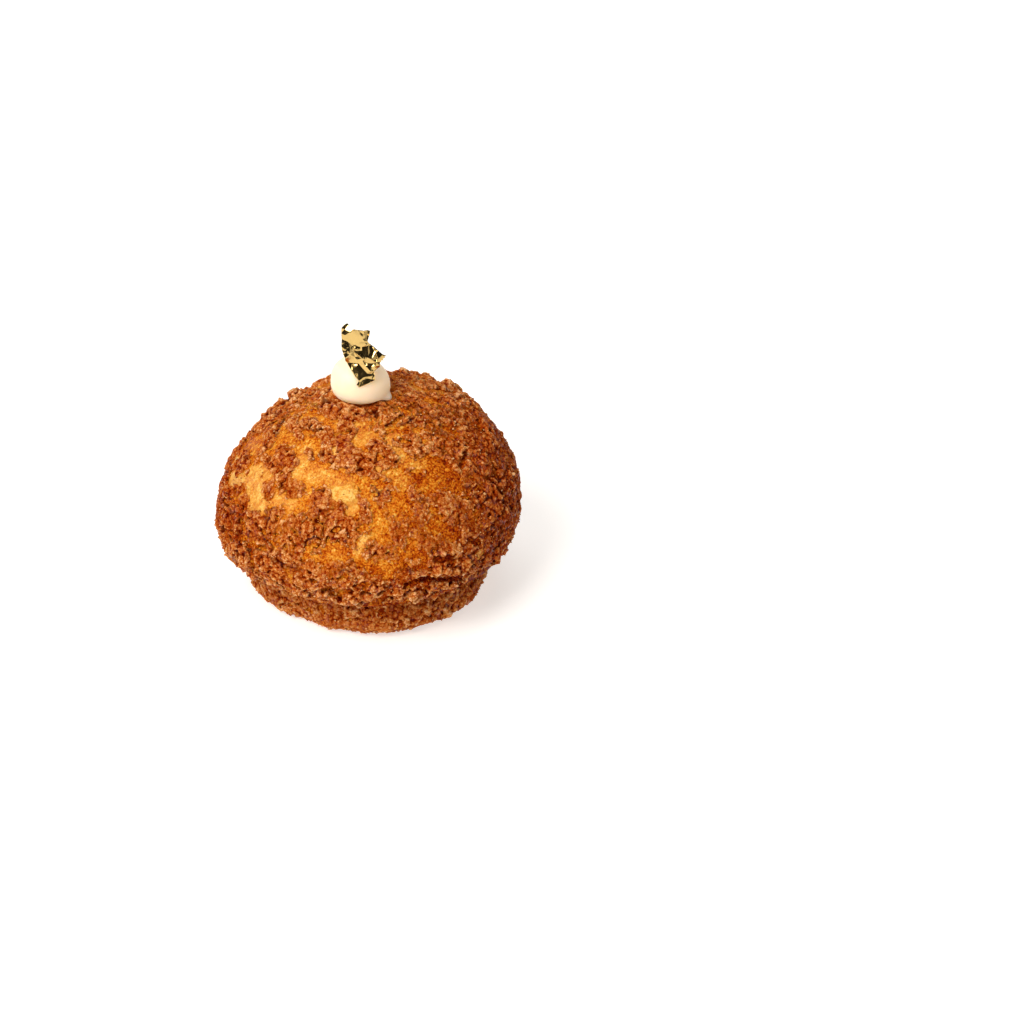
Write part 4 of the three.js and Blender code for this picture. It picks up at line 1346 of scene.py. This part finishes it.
# The torn outline, then the corners of the facets inside it: how far right of the
# cream's middle, how far up the leaf, and how far the crumple pushes it forward.
LEAF_OUTLINE = [
    (-2.60, 16.20, -0.75), (-3.30, 15.87, -0.50), (-4.00, 15.07, -0.45), (-4.05, 13.73, -0.50),
    (-4.00, 12.26, -0.37), (-4.05, 10.40, 0.18), (-3.97, 9.57, 0.08), (-3.72, 9.04, 0.25),
    (-3.65, 8.57, 0.20), (-3.22, 7.53, 0.45), (-3.17, 6.75, 0.10), (-2.80, 6.24, -0.25),
    (-2.50, 5.61, -0.22), (-1.67, 4.22, -0.20), (-0.80, 2.84, -0.22), (0.08, 1.91, -0.30),
    (-0.50, 0.96, -0.50), (0.08, 0.31, -0.70), (1.95, 1.09, -0.62), (4.03, 1.96, -0.40),
    (4.00, 3.09, 0.10), (3.85, 4.11, -0.10), (5.20, 5.10, 0.20), (5.28, 5.53, 0.45), (5.28, 6.45, 0.10),
    (5.65, 6.19, 0.10), (5.55, 6.85, 0.10), (6.25, 6.80, 0.00), (5.90, 7.29, 0.05), (6.65, 7.53, -0.10),
    (6.30, 7.84, -0.05), (7.00, 8.05, -0.20), (5.95, 8.52, -0.10), (4.83, 9.49, -0.10),
    (3.70, 10.40, -0.45), (2.58, 11.33, -0.20), (2.33, 11.86, -0.15), (2.80, 13.33, -0.10),
    (2.95, 14.13, -1.10), (2.33, 14.45, -0.75), (1.45, 14.53, 0.15), (0.20, 14.72, 0.15),
    (-1.05, 14.88, 0.18), (-2.05, 14.99, -0.20), (-2.30, 15.87, -0.75),
]
LEAF_CORNERS = [
    (-3.15, 14.80, -0.25), (-3.05, 13.47, 0.15), (-1.80, 14.32, 0.18), (1.15, 12.40, 0.10),
    (0.78, 10.27, -0.05), (-0.55, 10.72, 0.02), (-1.35, 10.32, 0.00), (-2.10, 10.40, 0.20),
    (-2.80, 11.92, 0.00), (-0.97, 9.57, -0.12), (-1.17, 9.10, 0.00), (-2.10, 8.47, 0.40),
    (0.20, 8.23, 0.45), (1.08, 7.19, 0.30), (0.03, 6.14, -0.26), (-1.72, 6.27, -0.50),
    (0.00, 7.95, 0.00), (-0.80, 7.74, -0.10), (0.85, 7.58, 0.35), (0.00, 7.27, 0.10),
    (0.70, 9.83, 0.25), (-0.67, 9.91, 0.20), (2.05, 3.79, -0.25), (1.83, 5.69, 0.20),
    (3.12, 4.17, 0.20), (3.15, 3.56, -0.20), (2.17, 6.02, 0.20), (4.08, 5.51, 0.50), (3.95, 6.24, 0.30),
    (2.20, 6.32, 0.00), (2.28, 7.84, 0.50), (3.28, 7.32, 0.55), (4.30, 6.50, 0.55), (1.70, 7.42, 0.50),
    (2.33, 10.61, -0.15), (3.45, 10.09, -0.30), (3.95, 9.23, -0.10), (4.60, 7.40, 0.15),
    (1.35, 13.47, 0.00), (2.17, 12.53, -0.30), (1.03, 10.46, 0.00), (2.10, 10.80, 0.00),
    (3.10, 5.23, 0.20), (2.53, 4.87, 0.20), (-3.05, 9.44, 0.20), (-2.05, 9.49, 0.33),
    (-2.92, 9.04, 0.32), (-2.05, 9.07, 0.44), (-0.50, 9.44, 0.20), (0.90, 9.51, 0.15),
    (3.85, 10.04, -0.15), (4.30, 9.10, 0.05), (4.90, 7.37, 0.40), (3.53, 3.11, -0.25),
    (2.38, 13.36, -0.50), (1.25, 2.84, -0.35), (2.28, 2.46, -0.45), (1.03, 2.16, -0.60),
    (3.33, 2.19, -0.50), (2.58, 3.01, -0.20),
]


def leaf_line(distance):
    """Points in Y and Z up the leaf's middle line, and the line's direction there."""
    line = np.array(LEAF_LINE)
    steps = np.linalg.norm(np.diff(line, axis=0), axis=1)
    marks = np.concatenate([[0], np.cumsum(steps)])
    fine = np.linspace(0, marks[-1], 200)
    rough = np.stack([np.interp(fine, marks, line[:, axis]) for axis in range(2)], axis=-1)
    for i in range(120):
        rough[1:-1] = (rough[:-2] + 2 * rough[1:-1] + rough[2:]) / 4
    way = np.gradient(rough, axis=0)
    way /= np.linalg.norm(way, axis=1, keepdims=True)
    at = [np.interp(distance, fine, rough[:, axis]) for axis in range(2)]
    toward = [np.interp(distance, fine, way[:, axis]) for axis in range(2)]
    return np.stack(at, -1), np.stack(toward, -1)


corners = LEAF_OUTLINE + LEAF_CORNERS
flat, _, leaf_faces, which, _, _ = delaunay_2d_cdt(
    [Vector(corner[:2]) for corner in corners], [], [list(range(len(LEAF_OUTLINE)))], 1, 1e-4,
)
forward = np.array([corners[ids[0]][2] for ids in which])
flat = np.array([list(point) for point in flat])
leaf = mesh_from("gold_leaf_foil", np.column_stack([flat, forward]), np.array(leaf_faces))
select_only(leaf)
bpy.ops.object.mode_set(mode="EDIT")
bpy.ops.mesh.select_all(action="SELECT")
bpy.ops.mesh.subdivide(number_cuts=LEAF_CUTS)
bpy.ops.object.mode_set(mode="OBJECT")

x, up, forward = vertices_of(leaf).T
line, toward = leaf_line(up)
loose = smooth((up - LEAF_LOOSE[0]) / (LEAF_LOOSE[1] - LEAF_LOOSE[0]))
wrap = (x - LEAF_WRAP_MIDDLE) ** 2 / (LEAF_WRAP * CREAM_RADIUS) * (1 - loose)
folds = np.abs(ripple(np.stack([x, up, 0 * x], -1), LEAF_FOLD_SIZE, 71)) * LEAF_FOLD_HEIGHT
off = forward + folds + LEAF_CLEARANCE * (1 - loose)
leaf_points = np.stack([
    CREAM_CENTRE[0] + x,
    CREAM_CENTRE[1] + line[:, 0] + wrap - toward[:, 1] * off,
    cream_height + line[:, 1] + toward[:, 0] * off,
], axis=-1)
move_vertices(leaf, leaf_points * MM)
select_only(leaf)
foil = leaf.modifiers.new("foil", "SOLIDIFY")
foil.thickness = LEAF_THICKNESS * MM
foil.offset = 0
bpy.ops.object.modifier_apply(modifier=foil.name)

# Real gold, beaten thin: a mirror with a faint grain, in facets with sharp edges.
gold_material, tree = new_material("beaten_gold")
place = add_node(tree, "ShaderNodeTexCoord").outputs["Object"]
gold_bump = add_node(tree, "ShaderNodeBump", sockets={
    "Height": noise(tree, place, 0.6, 3.0, 0.6), "Strength": 0.20, "Distance": 0.05 * MM,
})
gold = add_node(tree, "ShaderNodeBsdfPrincipled", sockets={
    "Base Color": linear("#cfae6c"), "Metallic": 1.0, "Roughness": 0.14,
    "Normal": gold_bump.outputs["Normal"],
})
add_node(tree, "ShaderNodeOutputMaterial", sockets={"Surface": gold.outputs["BSDF"]})
leaf.data.materials.append(gold_material)
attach(leaf, "root")
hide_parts("gold_leaf")
